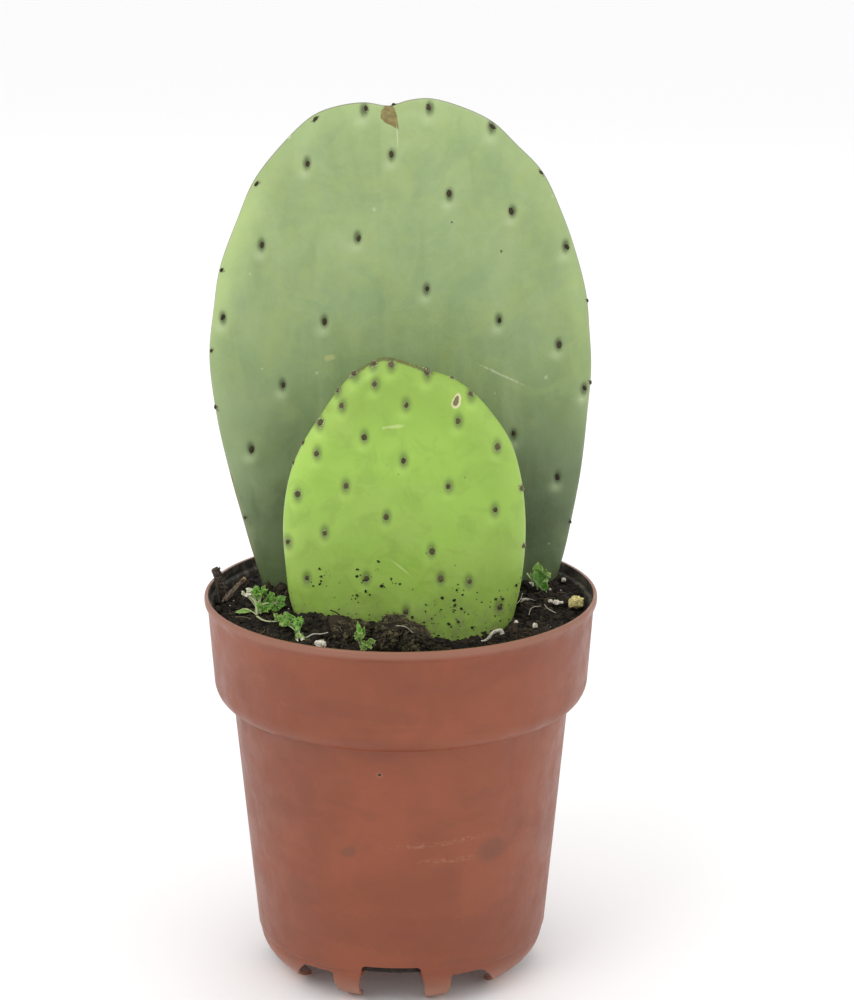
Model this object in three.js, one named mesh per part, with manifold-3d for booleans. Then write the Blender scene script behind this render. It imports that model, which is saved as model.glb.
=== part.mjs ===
// Potted paddle cactus: two prickly-pear pads planted in a round nursery pot.
// Millimetres, +Z up. The origin is the centre of the pot's foot ring, on the
// surface that the pot stands on. The small pad faces -Y.

import * as THREE from 'three';
import { ConvexGeometry } from 'three/addons/geometries/ConvexGeometry.js';
import { mergeVertices } from 'three/addons/utils/BufferGeometryUtils.js';
import Module from 'manifold-3d';

const wasm = await Module();
wasm.setup();

const gap = 0.3;                 // clearance between pieces that touch

// Pot
const potHeight = 120;
const lipRadius = 60;
const lipDepth = 3;
const lipRound = 0.5;
const bandTopRadius = 59;
const bandBottomRadius = 57.4;
const bandBottomZ = 94;
const shoulderRadius = 51.7;     // where the shoulder meets the tapered wall
const shoulderZ = 87.2;
const ringRadius = 44.9;         // low ring above the rounded corner
const ringZ = 12.8;
const ringStep = 0.5;
const footRadius = 33;
const footFlat = 1;              // width of the ring that the feet stand on
const cornerPower = 1.1;         // 1 is a quarter ellipse, more is flatter
const wall = 1.3;
const lipLean = 0.4;             // height of the step under the lip
const floorZ = 12.4;             // top of the raised floor
const floorThickness = 1.4;
const potSegments = 48;
const cornerSteps = 5;
const shoulderSteps = 3;

// Slots that cut the foot ring into three broad and six narrow feet. Each group has a
// tall slot between two short ones; sides are in degrees from the group's middle.
const slotGroups = 3;
const groupTurn = -4.2;          // degrees from the front to the first group
const slotInnerRadius = 29;
const slotOuterRadius = 50;
const slotFillet = 0.9;
const slots = [
  { height: 15.1, top: [-11.2, 11.2], bottom: [-15.5, 15.5] },
  { height: 11.2, top: [23.8, 39.9], bottom: [23.6, 49.5] },
  { height: 11.2, top: [-39.9, -23.8], bottom: [-49.5, -23.6] },
];

// Soil surface: a level and the heaps and hollows on it, as [x, y, height, spread]
const soilSegments = 40;
const soilRings = 6;
const soilLevel = 113.5;
const soilHeaps = [
  [-30, 6, 2.6, 17],
  [-22, -16, 2.6, 9],
  [40, 10, 3.6, 13],
  [8, 8, 2.2, 14],
  [0, 40, 2.6, 22],
  [15, -24, -6.6, 14],
  [-12, -46, -2.5, 14],
];

// Pads: outlines as [across, height], clockwise from the top
const rearPad = {
  planeY: 24,
  thickness: 14,
  edgeDepth: 11,
  outline: [
    [-3, 265.7], [8, 267], [18, 265], [27.5, 260], [35.5, 253.4], [43.3, 244.2], [50, 231.5],
    [55, 216], [58, 201], [58.9, 186], [58, 169.5], [56.3, 152.5], [53.2, 137.5], [50.4, 121.5],
    [45, 107], [31, 93], [13, 85.5], [-9, 85.5], [-27, 93], [-40.5, 107], [-45.4, 121.5],
    [-49.2, 136], [-53, 150.5], [-56.2, 167], [-58.6, 187], [-57.3, 203], [-54, 218], [-48.8, 232.5],
    [-42.5, 244.2], [-34.5, 254.6], [-25.5, 261.4], [-15, 265.6], [-8, 266.9],
  ],
};
const frontPad = {
  planeY: -10,
  thickness: 10.5,
  edgeDepth: 8,
  outline: [
    [-5.4, 195], [1, 194], [8, 191.3], [15.2, 188.9], [22.5, 183.6], [28.4, 176.6], [33, 169],
    [36, 158.5], [37.4, 147], [37.3, 134.5], [35.7, 122], [32.4, 110.5], [25, 101.5], [13, 95.5],
    [-1, 94.5], [-15, 98], [-26, 105.5], [-32.6, 117], [-34.7, 131], [-35.2, 146], [-33, 159.5],
    [-28.9, 169.4], [-23.4, 178], [-18.8, 184.8], [-13.2, 190.8],
  ],
};
const padOutlineSteps = 48;
const padEdgeSegments = 3;

// Roots, as [start across, end across, end forward, end height] under each pad's base
const rootRadius = 1.1;
const rootSink = 4;
const rearRoots = [
  [-16, -27, 6, 62], [-5, -9, -12, 50], [5, 11, 8, 44], [16, 28, -8, 60],
];
const frontRoots = [
  [-12, -22, -6, 72], [0, -3, -12, 60], [12, 23, -4, 70],
];

function material(name, color, roughness) {
  return new THREE.MeshStandardMaterial({ name, color, roughness, metalness: 0 });
}

const potMaterial = material('pot_plastic', 0xa5644e, 0.45);
const soilMaterial = material('peat', 0x241a14, 0.95);
const rearSkin = material('rear_pad_skin', 0x7f9a6c, 0.6);
const frontSkin = material('front_pad_skin', 0x96c24f, 0.45);
const barkMaterial = material('bark', 0x5a4a3e, 0.9);
const twigMaterial = material('twig_wood', 0x9a8068, 0.85);
const leafMaterial = material('weed_leaf', 0x6fae45, 0.55);
const yellowMaterial = material('yellow_mineral', 0xd9cf80, 0.8);
const gritMaterial = material('perlite', 0xe9e4d6, 0.85);
const fibreMaterial = material('pale_fibre', 0xd8cfb8, 0.8);

// ---- solids -----------------------------------------------------------------

function toSolid(geometry) {
  const bare = geometry.clone();
  bare.deleteAttribute('normal');
  bare.deleteAttribute('uv');
  const merged = mergeVertices(bare, 1e-4);
  return new wasm.Manifold(new wasm.Mesh({
    numProp: 3,
    vertProperties: new Float32Array(merged.attributes.position.array),
    triVerts: new Uint32Array(merged.index.array),
  }));
}

function toGeometry(solid) {
  const mesh = solid.getMesh();
  const geometry = new THREE.BufferGeometry();
  geometry.setAttribute('position', new THREE.BufferAttribute(new Float32Array(mesh.vertProperties), 3));
  geometry.setIndex(new THREE.BufferAttribute(new Uint32Array(mesh.triVerts), 1));
  geometry.computeVertexNormals();
  return geometry;
}

function join(solids) {
  return solids.reduce((sum, solid) => sum.add(solid));
}

// A round-section strand along a smooth curve through points.
function strand(points, radius, sides, steps) {
  const curve = new THREE.CatmullRomCurve3(points.map((p) => new THREE.Vector3(...p)));
  const section = new THREE.Shape();
  for (let i = 0; i < sides; i += 1) {
    const angle = (2 * Math.PI * i) / sides;
    const corner = [radius * Math.cos(angle), radius * Math.sin(angle)];
    if (i === 0) section.moveTo(...corner);
    else section.lineTo(...corner);
  }
  section.closePath();
  return new THREE.ExtrudeGeometry(section, { steps, extrudePath: curve, curveSegments: 1 });
}

// An uneven lump: an icosphere whose radius swells and dips smoothly.
function lump(size, centre, seed, detail, grow) {
  const geometry = mergeVertices(stripped(new THREE.IcosahedronGeometry(1, detail)), 1e-4);
  const position = geometry.attributes.position;
  for (let i = 0; i < position.count; i += 1) {
    const v = new THREE.Vector3().fromBufferAttribute(position, i);
    const swell = 1
      + 0.10 * Math.sin(3.1 * v.x + 1.7 * seed)
      + 0.08 * Math.sin(4.3 * v.y + 2.3 * seed)
      + 0.07 * Math.sin(3.7 * v.z + 0.9 * seed);
    v.multiplyScalar(swell);
    position.setXYZ(
      i,
      centre[0] + v.x * (size[0] + grow),
      centre[1] + v.y * (size[1] + grow),
      centre[2] + v.z * (size[2] + grow),
    );
  }
  return geometry;
}

function stripped(geometry) {
  geometry.deleteAttribute('normal');
  geometry.deleteAttribute('uv');
  return geometry;
}

// ---- pot ----------------------------------------------------------------------

// One skin of the rounded corner between the feet and the ring, as [radius, height].
function potCorner(inset) {
  const reach = ringRadius - ringStep - footRadius - inset;
  const rise = ringZ - ringStep - inset;
  const points = [];
  for (let i = 0; i <= cornerSteps; i += 1) {
    const t = (Math.PI / 2) * (i / cornerSteps);
    points.push([
      footRadius + reach * Math.sin(t) ** cornerPower,
      inset + rise * (1 - Math.cos(t)),
    ]);
  }
  return points;
}

// The wall, the shoulder and the band from the ring to the underside of the lip,
// moved inwards by inset, as [radius, height].
function potWall(inset) {
  const points = [
    [ringRadius - inset, ringZ + ringStep],
    [shoulderRadius - inset, shoulderZ],
  ];
  for (let i = 1; i <= shoulderSteps; i += 1) {
    const t = (Math.PI / 2) * (i / shoulderSteps);
    points.push([
      shoulderRadius + (bandBottomRadius - shoulderRadius) * Math.sin(t) - inset,
      shoulderZ + (bandBottomZ - shoulderZ) * (1 - Math.cos(t)),
    ]);
  }
  points.push([bandTopRadius - inset, potHeight - lipDepth - lipLean]);
  return points;
}

// The closed section of the pot: under the floor, down the skirt's inside, up the
// outside, over the lip and down the inside to the floor.
function potProfile() {
  const underside = floorZ - floorThickness;
  const skirtInside = potCorner(wall).filter(([, z]) => z < underside).reverse();
  return [
    [0, underside],
    [ringRadius - ringStep - wall, underside],
    ...skirtInside,
    [footRadius - footFlat, wall],
    [footRadius - footFlat, 0],
    ...potCorner(0),
    ...potWall(0),
    [lipRadius, potHeight - lipDepth],
    [lipRadius, potHeight - lipRound],
    [lipRadius - lipRound, potHeight],
    [lipRadius - wall + lipRound, potHeight],
    [lipRadius - wall, potHeight - lipRound],
    [lipRadius - wall, potHeight - lipDepth],
    ...potWall(wall).reverse(),
    [ringRadius - ringStep - wall, floorZ],
    [0, floorZ],
  ];
}

function ringOf(profile, segments) {
  return new THREE.LatheGeometry(profile.map(([r, z]) => new THREE.Vector2(r, z)), segments)
    .rotateX(Math.PI / 2);
}

// A slot with a level top, cut upper corners and radial sides that spread downwards.
function slotCutter({ height, top, bottom }) {
  const fillet = THREE.MathUtils.radToDeg(slotFillet / ringRadius);
  const corners = [
    [bottom[0], -1],
    [bottom[1], -1],
    [top[1], height - slotFillet],
    [top[1] - fillet, height],
    [top[0] + fillet, height],
    [top[0], height - slotFillet],
  ];
  const points = [slotInnerRadius, slotOuterRadius].flatMap(
    (radius) => corners.map(([degrees, z]) => {
      const angle = THREE.MathUtils.degToRad(degrees);
      return new THREE.Vector3(radius * Math.sin(angle), -radius * Math.cos(angle), z);
    }),
  );
  return new ConvexGeometry(points);
}

function potSolid() {
  let pot = toSolid(ringOf(potProfile(), potSegments));
  for (let i = 0; i < slotGroups; i += 1) {
    const turn = THREE.MathUtils.degToRad(groupTurn + (360 * i) / slotGroups);
    for (const slot of slots) {
      pot = pot.subtract(toSolid(slotCutter(slot).rotateZ(turn)));
    }
  }
  return pot;
}

// ---- pads -----------------------------------------------------------------------

function padBlade(pad, grow) {
  const curve = new THREE.CatmullRomCurve3(
    pad.outline.map(([x, z]) => new THREE.Vector3(x, z, 0)),
    true,
    'centripetal',
  );
  const outline = curve.getSpacedPoints(padOutlineSteps).slice(0, padOutlineSteps);
  const shape = new THREE.Shape(outline.map((p) => new THREE.Vector2(p.x, p.y)));
  const rim = pad.thickness * 0.38;
  const depth = pad.thickness - 2 * rim;
  return new THREE.ExtrudeGeometry(shape, {
    depth: depth + 2 * grow,
    bevelThickness: rim,
    bevelSize: pad.edgeDepth,
    bevelOffset: grow - pad.edgeDepth,
    bevelSegments: padEdgeSegments,
    curveSegments: 1,
  })
    .translate(0, 0, -depth / 2 - grow)
    .rotateX(Math.PI / 2)
    .translate(0, pad.planeY, 0);
}

function rootSolid(pad, [startX, endX, endY, endZ], grow) {
  const base = Math.min(...pad.outline.map(([, z]) => z));
  const points = [
    [startX, pad.planeY, base + rootSink],
    [startX + (endX - startX) * 0.3, pad.planeY + endY * 0.2, base - 6],
    [startX + (endX - startX) * 0.7, pad.planeY + endY * 0.7, (base + endZ) / 2],
    [endX, pad.planeY + endY, endZ - grow],
  ];
  return toSolid(strand(points, rootRadius + grow, 5, 5));
}

function padSolid(pad, roots, grow) {
  return join([toSolid(padBlade(pad, grow)), ...roots.map((root) => rootSolid(pad, root, grow))]);
}

// ---- soil -------------------------------------------------------------------------

function soilHeight(x, y) {
  return soilHeaps.reduce(
    (height, [hx, hy, rise, spread]) => height
      + rise * Math.exp(-((x - hx) ** 2 + (y - hy) ** 2) / (2 * spread ** 2)),
    soilLevel,
  );
}

function soilBlock() {
  const edge = potWall(wall + gap).filter(([, z]) => z < soilLevel - 2);
  const [lastRadius] = edge[edge.length - 1];
  const profile = [
    [0, floorZ + gap],
    [ringRadius - ringStep - wall - gap, floorZ + gap],
    ...edge,
    [lastRadius + 0.3, soilLevel - 2],
  ];
  for (let ring = soilRings; ring >= 0; ring -= 1) {
    profile.push([(lastRadius * ring) / soilRings, soilLevel]);
  }
  const geometry = mergeVertices(stripped(ringOf(profile, soilSegments)), 1e-4);
  const position = geometry.attributes.position;
  for (let i = 0; i < position.count; i += 1) {
    if (position.getZ(i) > soilLevel - 1) {
      position.setZ(i, soilHeight(position.getX(i), position.getY(i)));
    }
  }
  return toSolid(geometry);
}

// ---- things lying on the soil -------------------------------------------------------

// A flat leaf blade with rounded lobes along both sides, its base at the origin and
// its tip along +X.
function lobedLeaf(length, width, lobes, thickness) {
  const shape = new THREE.Shape();
  const side = [];
  for (let i = 0; i <= lobes * 3; i += 1) {
    const t = i / (lobes * 3);
    const swell = Math.sin(Math.PI * t ** 0.75) ** 0.8;
    const lobe = 0.78 - 0.22 * Math.cos(2 * Math.PI * lobes * t);
    side.push([length * t, (width / 2) * swell * lobe + 0.25]);
  }
  shape.moveTo(side[0][0], -side[0][1]);
  side.slice(1).forEach(([x, y]) => shape.lineTo(x, -y));
  side.slice().reverse().forEach(([x, y]) => shape.lineTo(x, y));
  shape.closePath();
  return new THREE.ExtrudeGeometry(shape, { depth: thickness, bevelEnabled: false, curveSegments: 1 })
    .translate(0, 0, -thickness / 2);
}

// A leaf that starts at base, points towards heading (degrees) and climbs by rise (degrees).
function placedLeaf({ base, heading, rise, length, width, lobes }) {
  const leaf = lobedLeaf(length, width, lobes, 0.6);
  leaf.rotateY(-THREE.MathUtils.degToRad(rise));
  leaf.rotateZ(THREE.MathUtils.degToRad(heading));
  leaf.translate(...base);
  return toSolid(leaf);
}

// A small plant: stems and leaves that meet at its crown.
function weedSolid(crown, stems, leaves) {
  const heart = toSolid(new THREE.IcosahedronGeometry(0.9, 0).translate(...crown));
  const stemSolids = stems.map((points) => toSolid(strand(points, 0.45, 5, 4)));
  return join([heart, ...stemSolids, ...leaves.map(placedLeaf)]);
}

function leafyWeed() {
  const crown = [-41.8, -7.6, 118.2];
  const stems = [
    [crown, [-42.2, -8.6, 117], [-42.6, -9.6, 115.8]],
    [crown, [-45, -8, 120], [-47.2, -7.4, 121.6]],
  ];
  const leaves = [];
  for (let i = 0; i < 7; i += 1) {
    leaves.push({
      base: crown,
      heading: -150 + 43 * i,
      rise: 14 + 13 * (i % 3),
      length: 6.2 + (i % 2),
      width: 4.6,
      lobes: 3,
    });
  }
  return weedSolid(crown, stems, leaves);
}

function creepingWeed() {
  const crown = [-33.2, -23.6, 117.6];
  const stems = [
    [crown, [-36.5, -20.6, 117.4], [-40, -17.4, 116.6], [-43, -13.4, 116]],
    [crown, [-31, -27.6, 116.6], [-29.4, -31, 114.9]],
  ];
  const leaves = [];
  for (let i = 0; i < 6; i += 1) {
    leaves.push({
      base: crown,
      heading: -125 + 47 * i,
      rise: 10 + 12 * (i % 2),
      length: 5.6,
      width: 4.2,
      lobes: 3,
    });
  }
  return weedSolid(crown, stems, leaves);
}

function seedling() {
  const crown = [-11.4, -35.4, 115.6];
  const stems = [
    [crown, [-11.5, -35.2, 114], [-11.5, -35, 112.3]],
    [crown, [-11.9, -35.5, 118.4], [-12.4, -35.6, 121]],
  ];
  const leaves = [-160, -30, 80].map((heading, i) => ({
    base: crown,
    heading,
    rise: 12 + 8 * i,
    length: 4.6,
    width: 3.6,
    lobes: 1,
  }));
  return weedSolid(crown, stems, leaves);
}

function lobedWeed() {
  const crown = [43, 6.5, 120.2];
  const stems = [[crown, [42, 6.5, 118.8], [41.4, 6.6, 117.6]]];
  const leaves = [
    { base: crown, heading: 60, rise: 62, length: 6.5, width: 5, lobes: 3 },
    { base: crown, heading: -60, rise: -8, length: 5.2, width: 4.6, lobes: 2 },
    { base: crown, heading: 150, rise: 42, length: 4.2, width: 3.6, lobes: 2 },
  ];
  return weedSolid(crown, stems, leaves);
}

function twig(grow) {
  return toSolid(strand([[-54.2, 3.6, 115.6], [-51.6, 7, 117.8], [-48.3, 11.4, 120.2]], 0.9 + grow, 7, 6));
}

function barkStub(grow) {
  const points = [[-53.6, 9, 112], [-55, 9, 117.4], [-56.1, 9.2, 120.8], [-57.2, 9.4, 124.2]];
  return toSolid(strand(points, 1.4 + grow, 7, 6));
}

const grit = [
  { name: 'grit_1', size: [1.4, 1.1, 0.9], at: [51, 20] },
  { name: 'grit_2', size: [1.3, 1, 1.1], at: [40.4, 10.2] },
  { name: 'grit_3', size: [1.5, 1, 0.7], at: [38, -0.8] },
  { name: 'grit_4', size: [1.2, 1.1, 0.9], at: [47.4, -3.4] },
  { name: 'grit_5', size: [1.2, 1, 1], at: [40.3, -17.6] },
  { name: 'grit_6', size: [2, 1.5, 1.1], at: [-23.8, -33.8] },
];

function gritSolid({ size, at: [x, y] }, index) {
  const centre = [x, y, soilHeight(x, y) + size[2] * 1.3 + gap];
  return toSolid(lump(size, centre, index + 1, 1, 0));
}

function clod(grow) {
  return toSolid(lump([8, 6.8, 6], [0.4, -28.4, 114.3], 2, 2, grow));
}

function lowClod(grow) {
  return toSolid(lump([5.4, 5.2, 3.8], [-15, -25, 113.4], 5, 1, grow));
}

function yellowCrumb() {
  const [x, y] = [53.4, -5.2];
  return toSolid(lump([2.1, 1.9, 1.6], [x, y, soilHeight(x, y) + 2.6], 4, 1, 0));
}

function paleFibre() {
  const points = [[-28, -30.6, 114.9], [-26, -29.4, 115.6], [-23.8, -29.8, 115.8], [-21.6, -29, 116]];
  return toSolid(strand(points, 0.4, 6, 10));
}

function curledFibre() {
  const points = [[23.6, -24.5, 112.6], [26, -26, 113.4], [27.6, -24, 114.6], [30.4, -23.4, 114.2]];
  return toSolid(strand(points, 0.6, 6, 10));
}

// ---- the object -----------------------------------------------------------------------

const seated = {
  bark_stub: [barkStub, barkMaterial],
  twig: [twig, twigMaterial],
  soil_clod: [clod, soilMaterial],
  soil_clod_low: [lowClod, soilMaterial],
};

const plants = {
  leafy_weed: leafyWeed(),
  creeping_weed: creepingWeed(),
  seedling: seedling(),
  lobed_weed: lobedWeed(),
};

function soilSolid() {
  const hollows = [
    padSolid(rearPad, rearRoots, gap),
    padSolid(frontPad, frontRoots, gap),
    ...Object.values(seated).map(([build]) => build(gap)),
  ];
  return hollows.reduce((soil, hollow) => soil.subtract(hollow), soilBlock());
}

const cactus = new THREE.Group();
cactus.name = 'potted_paddle_cactus';

function addPiece(name, solid, pieceMaterial) {
  const mesh = new THREE.Mesh(toGeometry(solid), pieceMaterial);
  mesh.name = name;
  cactus.add(mesh);
}

addPiece('pot', potSolid(), potMaterial);
addPiece('soil', soilSolid(), soilMaterial);
addPiece('rear_pad', padSolid(rearPad, rearRoots, 0), rearSkin);
addPiece('front_pad', padSolid(frontPad, frontRoots, 0), frontSkin);
Object.entries(seated).forEach(([name, [build, look]]) => addPiece(name, build(0), look));
Object.entries(plants).forEach(([name, solid]) => addPiece(name, solid, leafMaterial));
addPiece('yellow_crumb', yellowCrumb(), yellowMaterial);
grit.forEach((piece, index) => addPiece(piece.name, gritSolid(piece, index), gritMaterial));
addPiece('pale_fibre', paleFibre(), fibreMaterial);
addPiece('curled_fibre', curledFibre(), fibreMaterial);

export default cactus;
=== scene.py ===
import math
import random
import bmesh
import bpy
import numpy as np
from mathutils import Matrix, Vector, noise


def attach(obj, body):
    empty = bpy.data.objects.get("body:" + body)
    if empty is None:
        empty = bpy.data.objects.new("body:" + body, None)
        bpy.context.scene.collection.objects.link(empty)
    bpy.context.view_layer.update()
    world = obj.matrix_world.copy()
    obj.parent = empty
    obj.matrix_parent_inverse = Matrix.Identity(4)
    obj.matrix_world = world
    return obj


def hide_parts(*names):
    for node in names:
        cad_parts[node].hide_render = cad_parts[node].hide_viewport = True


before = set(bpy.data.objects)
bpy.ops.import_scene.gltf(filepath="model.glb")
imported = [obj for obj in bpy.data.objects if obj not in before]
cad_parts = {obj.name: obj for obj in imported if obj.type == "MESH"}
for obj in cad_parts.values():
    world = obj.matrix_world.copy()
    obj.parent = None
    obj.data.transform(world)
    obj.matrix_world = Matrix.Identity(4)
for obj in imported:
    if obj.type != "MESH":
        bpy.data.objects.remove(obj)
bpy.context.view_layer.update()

scene = bpy.context.scene
mm = 0.001


# camera, floor and light

view = {
    "place": (0.0, -0.800, 0.3698),
    "aim": (0.0080, 0.0, 0.1486),
    "lens": 98.55,
    "sensor": 36.0,
}


def makeCamera():
    data = bpy.data.cameras.new("camera")
    data.lens = view["lens"]
    data.sensor_width = view["sensor"]
    data.clip_start = 0.01
    data.clip_end = 50
    camera = bpy.data.objects.new("camera", data)
    camera.location = view["place"]
    towards = Vector(view["aim"]) - Vector(view["place"])
    camera.rotation_euler = towards.to_track_quat("-Z", "Y").to_euler()
    scene.collection.objects.link(camera)
    scene.camera = camera


studio = {
    "world": 1.0,
    "floorColour": (0.965, 0.965, 0.965, 1),
    "floorSize": 24.0,
    # name, place, size, watts
    "lamps": [
        ("keyLamp", (-0.75, -0.85, 1.25), 0.9, 5.0),
        ("fillLamp", (0.95, -0.70, 0.75), 1.0, 1.6),
        ("backLamp", (0.25, 1.10, 1.05), 0.9, 2.2),
    ],
}


def makeStudio():
    world = bpy.data.worlds.new("studioWhite")
    world.use_nodes = True
    world.node_tree.nodes["Background"].inputs["Color"].default_value = (1, 1, 1, 1)
    world.node_tree.nodes["Background"].inputs["Strength"].default_value = studio["world"]
    scene.world = world
    scene.view_settings.view_transform = "Standard"
    half = studio["floorSize"] / 2
    mesh = bpy.data.meshes.new("floor")
    mesh.from_pydata([(-half, -half, 0), (half, -half, 0), (half, half, 0), (-half, half, 0)], [],
                     [(0, 1, 2, 3)])
    floor = bpy.data.objects.new("floor", mesh)
    scene.collection.objects.link(floor)
    paper = bpy.data.materials.new("floorPaper")
    paper.use_nodes = True
    shader = paper.node_tree.nodes["Principled BSDF"]
    shader.inputs["Base Color"].default_value = studio["floorColour"]
    shader.inputs["Roughness"].default_value = 0.9
    shader.inputs["Specular IOR Level"].default_value = 0.1
    mesh.materials.append(paper)
    for name, place, size, watts in studio["lamps"]:
        data = bpy.data.lights.new(name, "AREA")
        data.shape = "DISK"
        data.size = size
        data.energy = watts
        lamp = bpy.data.objects.new(name, data)
        lamp.location = place
        lamp.rotation_euler = (Vector((0, 0, 0.14)) - Vector(place)).to_track_quat("-Z", "Y").to_euler()
        scene.collection.objects.link(lamp)


makeCamera()
makeStudio()
print("camera, floor and lamps ready")


# small helpers for node trees

def addNode(tree, kind, inputs=None, **settings):
    node = tree.nodes.new(kind)
    for name, value in settings.items():
        setattr(node, name, value)
    for key, value in (inputs or {}).items():
        if isinstance(value, bpy.types.NodeSocket):
            tree.links.new(value, node.inputs[key])
        else:
            node.inputs[key].default_value = value
    return node


def made(tree, kind, inputs=None, **settings):
    # a new node's first output
    return addNode(tree, kind, inputs, **settings).outputs[0]


def maths(tree, operation, a, b=0.0, c=None):
    inputs = {0: a, 1: b}
    if c is not None:
        inputs[2] = c
    return made(tree, "ShaderNodeMath", inputs, operation=operation)


def times(tree, a, b):
    return maths(tree, "MULTIPLY", a, b)


def plus(tree, a, b):
    return maths(tree, "ADD", a, b)


def minus(tree, a, b):
    return maths(tree, "SUBTRACT", a, b)


def most(tree, a, b):
    return maths(tree, "MAXIMUM", a, b)


def remap(tree, value, low, high, toLow=0.0, toHigh=1.0, kind="SMOOTHSTEP"):
    inputs = {0: value, 1: low, 2: high, 3: toLow, 4: toHigh}
    return made(tree, "ShaderNodeMapRange", inputs, interpolation_type=kind)


def blendColour(tree, factor, a, b):
    # the mix node keeps its colour sockets after its number and vector ones
    return addNode(tree, "ShaderNodeMix", {0: factor, 6: a, 7: b}, data_type="RGBA").outputs[2]


def tint(tree, base, mask, strength, colour):
    # lays a colour over the base where a mask is, at a strength
    return blendColour(tree, times(tree, mask, strength), base, colour)


def rgb(red, green, blue):
    return (red, green, blue, 1.0)


def startGroup(name, inputs, outputs):
    group = bpy.data.node_groups.new(name, "ShaderNodeTree")
    for label, kind, default in inputs:
        socket = group.interface.new_socket(name=label, in_out="INPUT", socket_type=kind)
        socket.default_value = default
    for label, kind in outputs:
        group.interface.new_socket(name=label, in_out="OUTPUT", socket_type=kind)
    start = group.nodes.new("NodeGroupInput").outputs
    end = group.nodes.new("NodeGroupOutput").inputs
    return group, start, end


def useGroup(tree, group, **values):
    node = tree.nodes.new("ShaderNodeGroup")
    node.node_tree = group
    for label, value in values.items():
        socket = node.inputs[label]
        if isinstance(value, bpy.types.NodeSocket):
            tree.links.new(value, socket)
        else:
            socket.default_value = value
    return node.outputs


def noiseOf(tree, vector, scale, detail=3.0, rough=0.55, distortion=0.0):
    inputs = {"Vector": vector, "Scale": scale, "Detail": detail, "Roughness": rough,
              "Distortion": distortion}
    return made(tree, "ShaderNodeTexNoise", inputs)


# effects that several materials share

def makePlaceGroup():
    # object coordinates in millimetres, whole and split
    group, _, end = startGroup(
        "placeInMm", [],
        [("Place", "NodeSocketVector"), ("Across", "NodeSocketFloat"),
         ("Depth", "NodeSocketFloat"), ("Height", "NodeSocketFloat")])
    coords = addNode(group, "ShaderNodeTexCoord")
    whole = made(group, "ShaderNodeVectorMath", {0: coords.outputs["Object"], 1: (1000, 1000, 1000)},
                 operation="MULTIPLY")
    parts = addNode(group, "ShaderNodeSeparateXYZ", {0: whole}).outputs
    for label, socket in (("Place", whole), ("Across", parts[0]), ("Depth", parts[1]),
                          ("Height", parts[2])):
        group.links.new(socket, end[label])
    return group


def makeDriftGroup():
    # slow mottling from one colour to another, with a second finer mottling on it
    group, start, end = startGroup(
        "colourDrift",
        [("Place", "NodeSocketVector", (0, 0, 0)), ("First", "NodeSocketColor", (1, 1, 1, 1)),
         ("Second", "NodeSocketColor", (1, 1, 1, 1)), ("Size", "NodeSocketFloat", 10.0),
         ("Balance", "NodeSocketFloat", 0.5), ("Contrast", "NodeSocketFloat", 0.15)],
        [("Colour", "NodeSocketColor"), ("Mask", "NodeSocketFloat")])
    scale = maths(group, "DIVIDE", 1.0, start["Size"])
    cloud = noiseOf(group, start["Place"], scale, 4.0, 0.6, 0.4)
    low = minus(group, start["Balance"], start["Contrast"])
    high = plus(group, start["Balance"], start["Contrast"])
    mask = remap(group, cloud, low, high)
    group.links.new(mask, end["Mask"])
    group.links.new(blendColour(group, mask, start["First"], start["Second"]), end["Colour"])
    return group


def makeSpeckGroup():
    # scattered small round specks
    group, start, end = startGroup(
        "specks",
        [("Place", "NodeSocketVector", (0, 0, 0)), ("Spacing", "NodeSocketFloat", 4.0),
         ("Size", "NodeSocketFloat", 0.12), ("Share", "NodeSocketFloat", 0.4)],
        [("Mask", "NodeSocketFloat")])
    scale = maths(group, "DIVIDE", 1.0, start["Spacing"])
    wobble = noiseOf(group, start["Place"], 1.7, 2.0)
    bent = made(group, "ShaderNodeVectorMath", {0: start["Place"], 1: wobble}, operation="ADD")
    cells = addNode(group, "ShaderNodeTexVoronoi", {"Vector": bent, "Scale": scale}, feature="F1")
    dot = maths(group, "LESS_THAN", cells.outputs["Distance"], start["Size"])
    pick = made(group, "ShaderNodeSeparateColor", {0: cells.outputs["Color"]})
    chosen = maths(group, "LESS_THAN", pick, start["Share"])
    group.links.new(times(group, dot, chosen), end["Mask"])
    return group


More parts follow.
